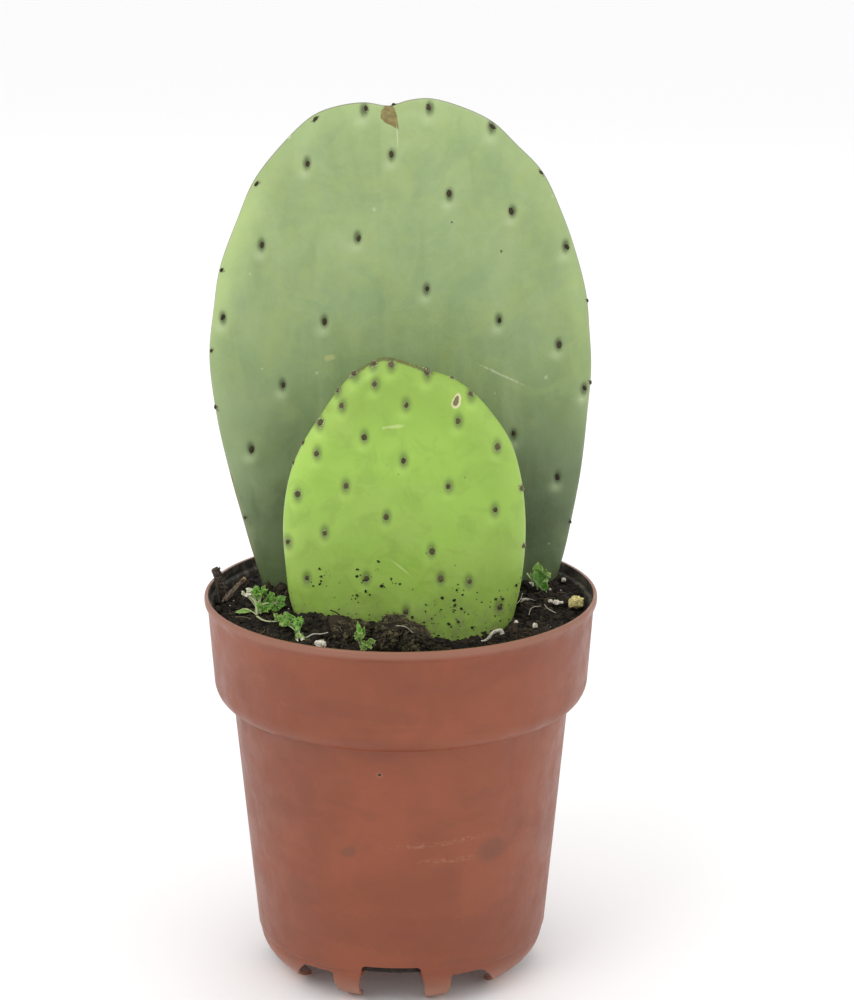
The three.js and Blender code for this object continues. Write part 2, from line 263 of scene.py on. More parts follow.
def makePatchGroup():
    # one ragged patch on a pad's or the pot's front, wider above than below when Taper is over 0
    group, start, end = startGroup(
        "raggedPatch",
        [("Across", "NodeSocketFloat", 0.0), ("Height", "NodeSocketFloat", 0.0),
         ("Place", "NodeSocketVector", (0, 0, 0)),
         ("Centre across", "NodeSocketFloat", 0.0), ("Centre height", "NodeSocketFloat", 0.0),
         ("Half width", "NodeSocketFloat", 1.0), ("Half height", "NodeSocketFloat", 1.0),
         ("Turn", "NodeSocketFloat", 0.0), ("Taper", "NodeSocketFloat", 0.0),
         ("Ragged", "NodeSocketFloat", 0.3), ("Softness", "NodeSocketFloat", 0.15)],
        [("Mask", "NodeSocketFloat")])
    x = minus(group, start["Across"], start["Centre across"])
    z = minus(group, start["Height"], start["Centre height"])
    cosine = maths(group, "COSINE", start["Turn"])
    sine = maths(group, "SINE", start["Turn"])
    along = plus(group, times(group, x, cosine), times(group, z, sine))
    up = minus(group, times(group, z, cosine), times(group, x, sine))
    v = maths(group, "DIVIDE", up, start["Half height"])
    narrow = maths(group, "MULTIPLY_ADD", v, start["Taper"], 1.0)
    u = maths(group, "DIVIDE", along, times(group, start["Half width"], most(group, narrow, 0.05)))
    reach = maths(group, "SQRT", plus(group, times(group, u, u), times(group, v, v)))
    rough = minus(group, noiseOf(group, start["Place"], 0.9, 3.0, 0.6), 0.5)
    edge = plus(group, reach, times(group, rough, start["Ragged"]))
    inner = minus(group, 1.0, start["Softness"])
    outer = plus(group, 1.0, start["Softness"])
    group.links.new(remap(group, edge, inner, outer, 1.0, 0.0), end["Mask"])
    return group


placeInMm = makePlaceGroup()
colourDrift = makeDriftGroup()
specks = makeSpeckGroup()
raggedPatch = makePatchGroup()


def driftColour(tree, place, first, second, size, balance, contrast):
    return useGroup(tree, colourDrift, Place=place["Place"], First=first, Second=second, Size=size,
                    Balance=balance,
                    Contrast=contrast)["Colour"]


def driftMask(tree, place, size, balance, contrast):
    return useGroup(tree, colourDrift, Place=place["Place"], Size=size, Balance=balance,
                    Contrast=contrast)["Mask"]


def specksOn(tree, place, spacing, size, share):
    return useGroup(tree, specks, Place=place["Place"], Spacing=spacing, Size=size, Share=share)["Mask"]


def noiseAt(tree, place, scale, detail=3.0, rough=0.55, distortion=0.0):
    return noiseOf(tree, place["Place"], scale, detail, rough, distortion)


def stretchedPlace(tree, place, scale):
    return made(tree, "ShaderNodeMapping", {"Vector": place["Place"], "Scale": scale})


def startMaterial(name, roughness=0.5, specular=0.5):
    material = bpy.data.materials.new(name)
    material.use_nodes = True
    tree = material.node_tree
    shader = tree.nodes["Principled BSDF"]
    shader.inputs["Roughness"].default_value = roughness
    shader.inputs["Specular IOR Level"].default_value = specular
    place = useGroup(tree, placeInMm)
    return material, tree, shader, place


def addBump(tree, shader, height, strength, distance):
    bump = addNode(tree, "ShaderNodeBump", {"Height": height, "Strength": strength, "Distance": distance})
    tree.links.new(bump.outputs[0], shader.inputs["Normal"])


def patchOn(tree, place, across, height, halfWidth, halfHeight, turn=0.0, taper=0.0, ragged=0.3,
            softness=0.15):
    outs = useGroup(tree, raggedPatch, **{
        "Across": place["Across"], "Height": place["Height"], "Place": place["Place"],
        "Centre across": across, "Centre height": height, "Half width": halfWidth,
        "Half height": halfHeight,
        "Turn": turn, "Taper": taper, "Ragged": ragged, "Softness": softness})
    return outs["Mask"]


def onFront(tree, place, mask, depth):
    # keeps a mask to what lies in front of a depth
    return times(tree, mask, maths(tree, "LESS_THAN", place["Depth"], depth))


def markOn(tree, place, depth, *patch):
    # one patch on the front, as patchOn takes it
    return onFront(tree, place, patchOn(tree, place, *patch), depth)


def attributeOf(tree, name):
    return addNode(tree, "ShaderNodeAttribute", attribute_name=name,
                   attribute_type="GEOMETRY").outputs["Fac"]


def shadeMaterial(name, dark, light, roughness, grain, lean=1.0):
    # each copy has its own shade between dark and light, with a fine mottle over it
    material, tree, shader, place = startMaterial(name, roughness, 0.3)
    shade = maths(tree, "POWER", attributeOf(tree, "shade"), lean)
    mottle = driftMask(tree, place, 0.9, 0.5, 0.2)
    mixed = plus(tree, times(tree, shade, 0.8), times(tree, mottle, 0.2))
    tree.links.new(blendColour(tree, mixed, dark, light), shader.inputs["Base Color"])
    rough = remap(tree, mottle, 0.0, 1.0, roughness - 0.12, roughness)
    tree.links.new(rough, shader.inputs["Roughness"])
    addBump(tree, shader, noiseAt(tree, place, 4.0, 3.0), grain * 0.5, 0.0003)
    return material


print("shared node groups ready")


# small helpers for meshes

def meshPiece(name, points, faces, materials, faceMaterials=None, smooth=True, scale=mm):
    mesh = bpy.data.meshes.new(name)
    mesh.from_pydata([tuple(float(v) * scale for v in p) for p in points], [], faces)
    for material in materials:
        mesh.materials.append(material)
    if faceMaterials is not None:
        mesh.polygons.foreach_set("material_index", faceMaterials)
    mesh.polygons.foreach_set("use_smooth", [smooth] * len(mesh.polygons))
    mesh.validate()
    mesh.update()
    piece = bpy.data.objects.new(name, mesh)
    scene.collection.objects.link(piece)
    return piece


def keep(piece, slot, *nodes):
    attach(piece, "root")
    if nodes:
        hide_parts(*nodes)
    return piece


def addMask(piece, name, values):
    attribute = piece.data.attributes.new(name, "FLOAT", "POINT")
    attribute.data.foreach_set("value", np.asarray(values, np.float32))


def closedCurve(points, count):
    # centripetal spline through a closed ring of points, evenly spaced
    ring = np.array(points, float)
    total = len(ring)
    fine = []
    for i in range(total):
        p0, p1, p2, p3 = (ring[(i + k - 1) % total] for k in range(4))
        t1 = np.linalg.norm(p1 - p0) ** 0.5
        t2 = t1 + np.linalg.norm(p2 - p1) ** 0.5
        t3 = t2 + np.linalg.norm(p3 - p2) ** 0.5
        for t in np.linspace(t1, t2, 24, endpoint=False):
            a1 = (t1 - t) / t1 * p0 + t / t1 * p1
            a2 = (t2 - t) / (t2 - t1) * p1 + (t - t1) / (t2 - t1) * p2
            a3 = (t3 - t) / (t3 - t2) * p2 + (t - t2) / (t3 - t2) * p3
            b1 = (t2 - t) / t2 * a1 + t / t2 * a2
            b2 = (t3 - t) / (t3 - t1) * a2 + (t - t1) / (t3 - t1) * a3
            fine.append((t2 - t) / (t2 - t1) * b1 + (t - t1) / (t2 - t1) * b2)
    fine = np.array(fine + fine[:1])
    length = np.concatenate([[0], np.cumsum(np.linalg.norm(np.diff(fine, axis=0), axis=1))])
    at = np.linspace(0, length[-1], count, endpoint=False)
    return np.stack([np.interp(at, length, fine[:, k]) for k in range(fine.shape[1])], 1)


def tube(points, radii, sides=8, start=0):
    # a tapered strand along points: vertices and faces, closed at both ends
    points = [Vector(p) for p in points]
    verts, faces = [], []
    side = Vector((0, 0, 1))
    for i, p in enumerate(points):
        along = (points[min(i + 1, len(points) - 1)] - points[max(i - 1, 0)]).normalized()
        if abs(along.dot(side)) > 0.95:
            side = Vector((1, 0, 0))
        across = along.cross(side).normalized()
        side = across.cross(along).normalized()
        for k in range(sides):
            turn = 2 * math.pi * k / sides
            verts.append(p + (across * math.cos(turn) + side * math.sin(turn)) * radii[i])
    for i in range(len(points) - 1):
        for k in range(sides):
            a = start + i * sides + k
            b = start + i * sides + (k + 1) % sides
            faces.append((a, b, b + sides, a + sides))
    faces.append(tuple(start + k for k in reversed(range(sides))))
    last = start + (len(points) - 1) * sides
    faces.append(tuple(last + k for k in range(sides)))
    return verts, faces


def smoothPath(points, steps):
    # uniform spline through open points
    line = [Vector(points[0]) * 2 - Vector(points[1])] + [Vector(p) for p in points]
    line.append(Vector(points[-1]) * 2 - Vector(points[-2]))
    path = []
    for i in range(1, len(line) - 2):
        p0, p1, p2, p3 = line[i - 1:i + 3]
        for s in range(steps):
            t = s / steps
            path.append(0.5 * ((2 * p1) + (p2 - p0) * t + (2 * p0 - 5 * p1 + 4 * p2 - p3) * t * t
                               + (3 * p1 - p0 - 3 * p2 + p3) * t ** 3))
    path.append(line[-2])
    return path


# geometry node trees

def startTree(name, inputs):
    tree = bpy.data.node_groups.new(name, "GeometryNodeTree")
    tree.interface.new_socket(name="Geometry", in_out="INPUT", socket_type="NodeSocketGeometry")
    for label, kind in inputs:
        tree.interface.new_socket(name=label, in_out="INPUT", socket_type="NodeSocket" + kind)
    tree.interface.new_socket(name="Geometry", in_out="OUTPUT", socket_type="NodeSocketGeometry")
    return tree, addNode(tree, "NodeGroupInput").outputs, addNode(tree, "NodeGroupOutput").inputs


def realized(tree, geometry):
    return made(tree, "GeometryNodeRealizeInstances", {"Geometry": geometry})


def painted(tree, geometry, material):
    return made(tree, "GeometryNodeSetMaterial", {"Geometry": geometry, "Material": material})


def asInstance(tree, geometry):
    return made(tree, "GeometryNodeGeometryToInstance", {"Geometry": geometry})


def scaledBy(tree, vector, scale):
    return made(tree, "ShaderNodeVectorMath", {0: vector, "Scale": scale}, operation="SCALE")


def shifted(tree, geometry, offset):
    return made(tree, "GeometryNodeSetPosition", {"Geometry": geometry, "Offset": offset})


def randomFloat(tree, low, high, seed):
    return addNode(tree, "FunctionNodeRandomValue", {2: low, 3: high, 8: seed},
                   data_type="FLOAT").outputs[1]


def randomVector(tree, low, high, seed):
    return made(tree, "FunctionNodeRandomValue", {0: low, 1: high, 8: seed}, data_type="FLOAT_VECTOR")


def namedVector(tree, name):
    return made(tree, "GeometryNodeInputNamedAttribute", {"Name": name}, data_type="FLOAT_VECTOR")


def namedFloat(tree, name):
    return made(tree, "GeometryNodeInputNamedAttribute", {"Name": name}, data_type="FLOAT")


def joined(tree, *geometries):
    node = tree.nodes.new("GeometryNodeJoinGeometry")
    for geometry in reversed(geometries):
        tree.links.new(geometry, node.inputs[0])
    return node.outputs[0]


def storeShade(tree, instances, seed):
    # a random number for each copy, which its material reads
    return made(tree, "GeometryNodeStoreNamedAttribute",
                {"Geometry": instances, "Name": "shade", "Value": randomFloat(tree, 0.0, 1.0, seed)},
                data_type="FLOAT", domain="INSTANCE")


def roughened(tree, geometry, scale, amount):
    # pushes points in and out along their normals by a noise
    place = made(tree, "GeometryNodeInputPosition")
    cloud = made(tree, "ShaderNodeTexNoise", {"Vector": place, "Scale": scale, "Detail": 2.0})
    push = times(tree, minus(tree, cloud, 0.5), amount)
    normal = made(tree, "GeometryNodeInputNormal")
    offset = scaledBy(tree, normal, push)
    return shifted(tree, geometry, offset)


def growFrom(name, source, tree, values, dropSource=True):
    modifier = source.modifiers.new("grow", "NODES")
    modifier.node_group = tree
    for item in tree.interface.items_tree:
        if item.item_type == "SOCKET" and item.in_out == "INPUT" and item.name in values:
            modifier[item.identifier] = values[item.name]
    mesh = bpy.data.meshes.new_from_object(source.evaluated_get(bpy.context.evaluated_depsgraph_get()))
    mesh.name = name
    source.modifiers.clear()
    piece = bpy.data.objects.new(name, mesh)
    scene.collection.objects.link(piece)
    if dropSource:
        bpy.data.objects.remove(source)
    return piece


def makeTuftTree():
    # on every point of an areole: a cushion of wool and a tuft of short glochids
    tree, start, end = startTree("areoleTufts", [
        ("Cushion size", "Vector"), ("Raggedness", "Float"), ("Spines", "Int"), ("Spine length", "Float"),
        ("Spine radius", "Float"), ("Tuft size", "Vector"), ("Spread", "Float"), ("Seed", "Int"),
        ("Cushion material", "Material"), ("Spine material", "Material")])
    facing = made(tree, "FunctionNodeAlignRotationToVector", {"Vector": namedVector(tree, "facing")},
                  axis="Z")
    size = namedFloat(tree, "size")
    ball = made(tree, "GeometryNodeMeshIcoSphere", {"Radius": 1.0, "Subdivisions": 2})
    cushionScale = scaledBy(tree, start["Cushion size"], size)
    cushions = made(tree, "GeometryNodeInstanceOnPoints",
                    {"Points": start["Geometry"], "Instance": ball, "Rotation": facing,
                     "Scale": cushionScale})
    cushions = realized(tree, storeShade(tree, cushions, 5))
    cushions = roughened(tree, cushions, 1900.0, start["Raggedness"])
    cushions = painted(tree, cushions, start["Cushion material"])
    variants = []
    for variant in range(3):
        seed = plus(tree, start["Seed"], variant * 7.0)
        spot = made(tree, "ShaderNodeVectorMath",
                    {0: randomVector(tree, (-1, -1, 0.0), (1, 1, 0.3), seed), 1: start["Tuft size"]},
                    operation="MULTIPLY")
        points = made(tree, "GeometryNodePoints", {"Count": start["Spines"], "Position": spot})
        lean = scaledBy(tree, randomVector(tree, (-1, -1, 0), (1, 1, 0), plus(tree, seed, 1.0)),
                        start["Spread"])
        lean = made(tree, "ShaderNodeVectorMath", {0: lean, 1: (0.0, 0.15, 1.0)}, operation="ADD")
        turn = made(tree, "FunctionNodeAlignRotationToVector", {"Vector": lean}, axis="Z")
        cone = made(tree, "GeometryNodeMeshCone",
                    {"Vertices": 4, "Radius Top": 0.0, "Radius Bottom": start["Spine radius"],
                     "Depth": start["Spine length"]})
        length = randomFloat(tree, 0.45, 1.1, plus(tree, seed, 2.0))
        scale = made(tree, "ShaderNodeCombineXYZ", {0: 1.0, 1: 1.0, 2: length})
        tuft = made(tree, "GeometryNodeInstanceOnPoints",
                    {"Points": points, "Instance": cone, "Rotation": turn, "Scale": scale})
        tuft = storeShade(tree, tuft, plus(tree, seed, 3.0))
        tuft = realized(tree, tuft)
        variants.append(asInstance(tree, tuft))
    pick = addNode(tree, "FunctionNodeRandomValue", {4: 0, 5: 2, 8: start["Seed"]},
                   data_type="INT").outputs[2]
    twist = randomVector(tree, (0, 0, -0.6), (0, 0, 0.6), start["Seed"])
    turned = made(tree, "FunctionNodeRotateRotation", {0: facing, 1: twist}, rotation_space="LOCAL")
    tufts = made(tree, "GeometryNodeInstanceOnPoints",
                 {"Points": start["Geometry"], "Instance": joined(tree, *variants),
                  "Pick Instance": True, "Instance Index": pick, "Rotation": turned, "Scale": size})
    tufts = realized(tree, tufts)
    tufts = painted(tree, tufts, start["Spine material"])
    tree.links.new(joined(tree, cushions, tufts), end[0])
    return tree


def makeCrumbTree():
    # lumps strewn over a surface, each with its own size, stretch and turn
    tree, start, end = startTree("strewnCrumbs", [
        ("Density", "Float"), ("Smallest", "Float"), ("Largest", "Float"), ("Facets", "Int"),
        ("Lumpiness", "Float"), ("Lump scale", "Float"), ("Sink", "Float"), ("Seed", "Int"),
        ("Material", "Material")])
    spread = addNode(tree, "GeometryNodeDistributePointsOnFaces",
                     {"Mesh": start["Geometry"], "Density": start["Density"], "Seed": start["Seed"]},
                     distribute_method="RANDOM")
    ball = made(tree, "GeometryNodeMeshIcoSphere", {"Radius": 0.5, "Subdivisions": start["Facets"]})
    chance = randomFloat(tree, 0.0, 1.0, plus(tree, start["Seed"], 1.0))
    share = maths(tree, "POWER", chance, 2.5)
    size = remap(tree, share, 0.0, 1.0, start["Smallest"], start["Largest"], "LINEAR")
    stretch = randomVector(tree, (0.6, 0.6, 0.5), (1.35, 1.35, 1.0), plus(tree, start["Seed"], 2.0))
    scale = scaledBy(tree, stretch, size)
    turn = randomVector(tree, (-0.7, -0.7, 0.0), (0.7, 0.7, 6.28), plus(tree, start["Seed"], 3.0))
    crumbs = made(tree, "GeometryNodeInstanceOnPoints",
                  {"Points": spread.outputs["Points"], "Instance": ball, "Rotation": turn, "Scale": scale})
    crumbs = storeShade(tree, crumbs, plus(tree, start["Seed"], 4.0))
    crumbs = realized(tree, crumbs)
    down = made(tree, "ShaderNodeCombineXYZ", {2: times(tree, start["Sink"], -1.0)})
    crumbs = shifted(tree, crumbs, down)
    crumbs = roughened(tree, crumbs, start["Lump scale"], start["Lumpiness"])
    crumbs = painted(tree, crumbs, start["Material"])
    tree.links.new(crumbs, end[0])
    return tree


def makeFibreTree():
    # thin bent fibres lying on a surface
    tree, start, end = startTree("strewnFibres", [
        ("Density", "Float"), ("Shortest", "Float"), ("Longest", "Float"), ("Radius", "Float"),
        ("Tilt", "Float"), ("Lift", "Float"), ("Seed", "Int"), ("Material", "Material")])
    spread = addNode(tree, "GeometryNodeDistributePointsOnFaces",
                     {"Mesh": start["Geometry"], "Density": start["Density"], "Seed": start["Seed"]},
                     distribute_method="RANDOM")
    variants = []
    for bend, rise in ((0.28, 0.10), (-0.15, 0.25), (0.42, 0.02)):
        curve = made(tree, "GeometryNodeCurveQuadraticBezier",
                     {"Resolution": 6, "Start": (-0.5, 0, 0), "Middle": (0.05, bend, rise),
                      "End": (0.5, 0, 0.04)})
        ring = made(tree, "GeometryNodeCurvePrimitiveCircle", {"Resolution": 3, "Radius": start["Radius"]})
        blade = made(tree, "GeometryNodeCurveToMesh",
                     {"Curve": curve, "Profile Curve": ring, "Fill Caps": True})
        variants.append(asInstance(tree, blade))
    seed = start["Seed"]
    pick = addNode(tree, "FunctionNodeRandomValue", {4: 0, 5: 2, 8: seed}, data_type="INT").outputs[2]
    lean = times(tree, randomFloat(tree, -1.0, 1.0, plus(tree, seed, 1.0)), start["Tilt"])
    twist = randomFloat(tree, 0.0, 6.28, plus(tree, seed, 2.0))
    turn = made(tree, "ShaderNodeCombineXYZ", {0: 0.0, 1: lean, 2: twist})
    share = maths(tree, "POWER", randomFloat(tree, 0.0, 1.0, plus(tree, seed, 3.0)), 2.0)
    length = remap(tree, share, 0.0, 1.0, start["Shortest"], start["Longest"], "LINEAR")
    # a fibre is a unit long before it is scaled, so its radius is a share of its length
    fibres = made(tree, "GeometryNodeInstanceOnPoints",
                  {"Points": spread.outputs["Points"], "Instance": joined(tree, *variants),
                   "Pick Instance": True, "Instance Index": pick, "Rotation": turn, "Scale": length})
    fibres = storeShade(tree, fibres, plus(tree, seed, 4.0))
    fibres = realized(tree, fibres)
    up = made(tree, "ShaderNodeCombineXYZ", {2: start["Lift"]})
    fibres = shifted(tree, fibres, up)
    fibres = painted(tree, fibres, start["Material"])
    tree.links.new(fibres, end[0])
    return tree


areoleTufts = makeTuftTree()
strewnCrumbs = makeCrumbTree()
strewnFibres = makeFibreTree()
print("geometry node trees ready")


# pot

pot = {
    "height": 120.0,
    "lipRadius": 60.0,
    "lipDepth": 3.0,
    "bandTopRadius": 59.0,
    "bandBottomRadius": 57.4,
    "bandBottomZ": 94.0,
    "shoulderRadius": 51.7,
    "shoulderZ": 87.2,
    "ringRadius": 44.9,
    "ringZ": 12.8,
    "ringStep": 0.5,
    "footRadius": 33.0,
    "footFlat": 0.3,
    "cornerPower": 1.5,
    "wall": 1.3,
    "floorZ": 12.4,
    "floorThickness": 1.4,
    "columns": 384,
    "slotGroups": 3,
    "groupTurn": -4.2,
    "slotInnerRadius": 29.0,
    # a slot's sides stand in degrees from the middle of its group
    "slots": [
        {"height": 11.2, "top": (-37.5, -23.8), "bottom": (-53.5, -25.3)},
        {"height": 15.1, "top": (-11.2, 11.2), "bottom": (-15.5, 15.5)},
        {"height": 11.2, "top": (23.8, 37.5), "bottom": (25.3, 53.5)},
    ],
    "slotFillet": 0.9,
    "tipRound": 2.4,
    "slotFade": 9.0,
    "softEdge": 0.18,
    # across, height, half width, half height, turn, taper
    "stains": [
        (-26.0, 82.5, 9.0, 5.0, -0.55, 0.4), (-31.5, 63.2, 8.0, 2.2, 0.1, 0.5),
        (-12.0, 101.0, 17.0, 2.6, -0.10, 0.0), (-30.0, 36.0, 5.5, 4.5, -0.4, 0.3),
        (6.0, 25.5, 34.0, 6.5, -0.08, 0.0), (-28.5, 70.5, 3.0, 6.0, 0.1, 0.0),
        (-34.0, 106.0, 7.0, 5.5, -0.5, 0.2),
    ],
}


def cornerPoint(height):
    # the rounded corner between foot and ring: outside radius, inside radius and inside height
    rise = pot["ringZ"] - pot["ringStep"]
    reach = pot["ringRadius"] - pot["ringStep"] - pot["footRadius"]
    bulge = max(0.0, 1 - (1 - min(height / rise, 1)) ** 2) ** (pot["cornerPower"] / 2)
    outside = pot["footRadius"] + reach * bulge
    inside = pot["footRadius"] + (reach - pot["wall"]) * bulge
    insideHeight = pot["wall"] + (rise - pot["wall"]) * (height / rise)
    return outside, inside, insideHeight


def potRows():
    # matching rows of the outside and the inside, from the foot to the lip, as (radius, height)
    outer = [(pot["footRadius"] - pot["footFlat"], 0.0)]
    inner = [(pot["footRadius"] - pot["footFlat"], pot["wall"])]
    levels = [0.0]
    for height in (0.0, 0.07, 0.27, 0.6, 1.05, 1.65, 2.35, 3.2, 4.1, 5.1, 6.2, 7.3, 8.4, 9.4, 10.3, 10.75,
                   11.2, 11.75, 12.3):
        outside, inside, insideHeight = cornerPoint(height)
        outer.append((outside, height))
        inner.append((inside, insideHeight))
        levels.append(height)
    ring, step, wall = pot["ringZ"], pot["ringStep"], pot["wall"]

    def add(radius, height):
        outer.append((radius, height))
        inner.append((radius - wall, height))
        levels.append(height)

    add(pot["ringRadius"] - step * 0.9, ring - 0.3)
    add(pot["ringRadius"] - step * 0.5, ring)
    add(pot["ringRadius"] - step * 0.1, ring + 0.3)
    slope = (pot["shoulderRadius"] - pot["ringRadius"]) / (pot["shoulderZ"] - ring)
    low = [13.5, 14.2, 14.65, 15.1, 15.6, 16.4, 17.6, 19.2, 21.4]
    for height in low + [24 + 2.6 * k for k in range(24)] + [pot["shoulderZ"] - 1.2]:
        add(pot["ringRadius"] + slope * (height - ring), height)
    bandOut = pot["bandBottomRadius"] - pot["shoulderRadius"]
    bandUp = pot["bandBottomZ"] - pot["shoulderZ"]
    add(pot["shoulderRadius"] + 0.1, pot["shoulderZ"] - 0.35)
    for k in range(1, 13):
        t = math.pi / 2 * k / 12
        add(pot["shoulderRadius"] + 0.35 + (bandOut - 0.35) * math.sin(t),
            pot["shoulderZ"] + bandUp * (1 - math.cos(t)))
    top = pot["height"] - pot["lipDepth"]
    for k in range(1, 13):
        share = k / 12
        radius = pot["bandBottomRadius"] + (pot["bandTopRadius"] - pot["bandBottomRadius"]) * share
        add(radius, pot["bandBottomZ"] + (top - 0.6 - pot["bandBottomZ"]) * share)
    lip = pot["lipRadius"]
    for radius, height in ((lip - 0.86, top - 0.3), (lip - 0.62, top), (lip - 0.35, top + 0.35),
                           (lip - 0.16, top + 0.75), (lip - 0.04, top + 1.2), (lip, pot["height"] - 1.1),
                           (lip - 0.06, pot["height"] - 0.5), (lip - 0.2, pot["height"] - 0.2),
                           (lip - 0.4, pot["height"] - 0.05)):
        outer.append((radius, height))
        inner.append((min(lip - wall + (lip - radius) * 0.2, lip - 0.62),
                      min(height, pot["height"] - 0.05)))
        levels.append(height)
    return outer, inner, levels


def slotEdge(slot, side, height):
    # one side of a slot at a height, in degrees from the middle of its group
    share = min(max(height / slot["height"], 0), 1)
    angle = slot["bottom"][side] + (slot["top"][side] - slot["bottom"][side]) * share
    outward = -1 if side == 0 else 1
    over = min((height - slot["height"]) / pot["slotFillet"] + 1, 1)
    if over > 0:
        fillet = math.degrees(pot["slotFillet"] / pot["ringRadius"])
        angle -= outward * fillet * (1 - math.sqrt(1 - over * over))
    under = 1 - height / pot["tipRound"]
    if under > 0:
        rounding = math.degrees(pot["tipRound"] * 0.4 / pot["footRadius"])
        angle += outward * rounding * (1 - math.sqrt(1 - under * under))
    return angle


def slotColumns(slot):
    # the columns of a group that a slot's two sides follow
    perGroup = pot["columns"] // pot["slotGroups"]
    even = 360 / pot["columns"]
    return [round(perGroup / 2 + slotEdge(slot, side, slot["height"] / 2) / even) for side in (0, 1)]


def columnAngles(level):
    # every column's angle at one height: columns bend to follow the slots' sides
    perGroup = pot["columns"] // pot["slotGroups"]
    even = 360 / pot["columns"]
    half = 180 / pot["slotGroups"]
    knots, angles = [0], [-half]
    for slot in pot["slots"]:
        fade = max(0.0, min(1.0, (level - slot["height"]) / pot["slotFade"]))
        fade = fade * fade * (3 - 2 * fade)
        for side, column in enumerate(slotColumns(slot)):
            bent = slotEdge(slot, side, min(level, slot["height"]))
            knots.append(column)
            angles.append(bent + ((column * even - half) - bent) * fade)
    knots.append(perGroup)
    angles.append(half)
    local = np.interp(np.arange(perGroup), knots, angles)
    turns = [local + pot["groupTurn"] + 2 * half * group for group in range(pot["slotGroups"])]
    return np.radians(np.concatenate(turns))


def makePot(outsideMaterial, insideMaterial):
    outer, inner, levels = potRows()
    columns = pot["columns"]
    perGroup = columns // pot["slotGroups"]
    verts, faces, looks = [], [], []
    for rows in (outer, inner):
        for (radius, height), level in zip(rows, levels):
            for angle in columnAngles(level):
                verts.append((radius * math.sin(angle), -radius * math.cos(angle), height))
    total = len(levels)
    spans = [(slot["height"], *slotColumns(slot)) for slot in pot["slots"]]

    def at(skin, row, column):
        return (skin * total + row) * columns + column % columns

    def cut(row, column):
        middle = (levels[row] + levels[row + 1]) / 2
        return any(middle < height and first <= column % perGroup < last for height, first, last in spans)

    def addFace(face, look):
        faces.append(face)
        looks.append(look)

    for column in range(columns):
        for row in range(total - 1):
            if cut(row, column):
                continue
            addFace((at(0, row, column), at(0, row, column + 1), at(0, row + 1, column + 1),
                     at(0, row + 1, column)), 0)
            addFace((at(1, row, column + 1), at(1, row, column), at(1, row + 1, column),
                     at(1, row + 1, column + 1)),
                    1 if levels[row] > pot["floorZ"] else 0)
            if row == 0 or cut(row - 1, column):
                addFace((at(0, row, column + 1), at(0, row, column), at(1, row, column),
                         at(1, row, column + 1)), 0)
            if cut(row, (column - 1) % columns):
                addFace((at(0, row, column), at(0, row + 1, column), at(1, row + 1, column),
                         at(1, row, column)), 0)
            if cut(row, (column + 1) % columns):
                addFace((at(0, row + 1, column + 1), at(0, row, column + 1), at(1, row, column + 1),
                         at(1, row + 1, column + 1)), 0)
        last = total - 1
        addFace((at(0, last, column), at(0, last, column + 1), at(1, last, column + 1),
                 at(1, last, column)), 0)
    used = sorted({corner for face in faces for corner in face})
    place = {old: new for new, old in enumerate(used)}
    verts = [verts[old] for old in used]
    faces = [tuple(place[corner] for corner in face) for face in faces]
    piece = meshPiece("pot_wall", verts, faces, [outsideMaterial, insideMaterial], looks)
    soften = piece.modifiers.new("softEdge", "BEVEL")
    soften.width = pot["softEdge"] * mm
    soften.segments = 2
    soften.limit_method = "ANGLE"
    soften.angle_limit = math.radians(50)
    soften.use_clamp_overlap = False
    softened = bpy.data.meshes.new_from_object(piece.evaluated_get(bpy.context.evaluated_depsgraph_get()))
    piece.modifiers.clear()
    piece.data = softened
    piece.data.set_sharp_from_angle(angle=math.radians(60))
    keep(piece, "pot_plastic", "pot")
    makeFloorDisc(outsideMaterial, insideMaterial)


def makeFloorDisc(underMaterial, topMaterial):
    # the raised floor, notched where the tall slots reach into it
    columns = pot["columns"]
    perGroup = columns // pot["slotGroups"]
    notch = slotColumns(pot["slots"][1])
    top = pot["floorZ"]
    under = top - pot["floorThickness"]
    rim = pot["ringRadius"] - pot["ringStep"] - pot["wall"] - 0.05
    verts, faces, looks = [], [], []
    hub = 2.0
    for height in (under, top):
        for share in (0.0, 0.35, 0.7, 1.0):
            for column, angle in enumerate(columnAngles(top)):
                notched = notch[0] < column % perGroup < notch[1]
                radius = hub + ((pot["slotInnerRadius"] if notched else rim) - hub) * share
                verts.append((radius * math.sin(angle), -radius * math.cos(angle), height))

    def at(layer, ring, column):
        return (layer * 4 + ring) * columns + column % columns

    for column in range(columns):
        after = column + 1
        for ring in range(3):
            faces.append((at(0, ring, after), at(0, ring, column), at(0, ring + 1, column),
                          at(0, ring + 1, after)))
            faces.append((at(1, ring, column), at(1, ring, after), at(1, ring + 1, after),
                          at(1, ring + 1, column)))
            looks.extend((0, 1))
        faces.append((at(0, 3, column), at(0, 3, after), at(1, 3, after), at(1, 3, column)))
        looks.append(0)
    faces.append(tuple(at(0, 0, column) for column in range(columns)))
    faces.append(tuple(at(1, 0, column) for column in reversed(range(columns))))
    looks.extend((0, 1))
    piece = meshPiece("pot_floor", verts, faces, [underMaterial, topMaterial], looks)
    piece.data.set_sharp_from_angle(angle=math.radians(40))
    keep(piece, "pot_plastic")


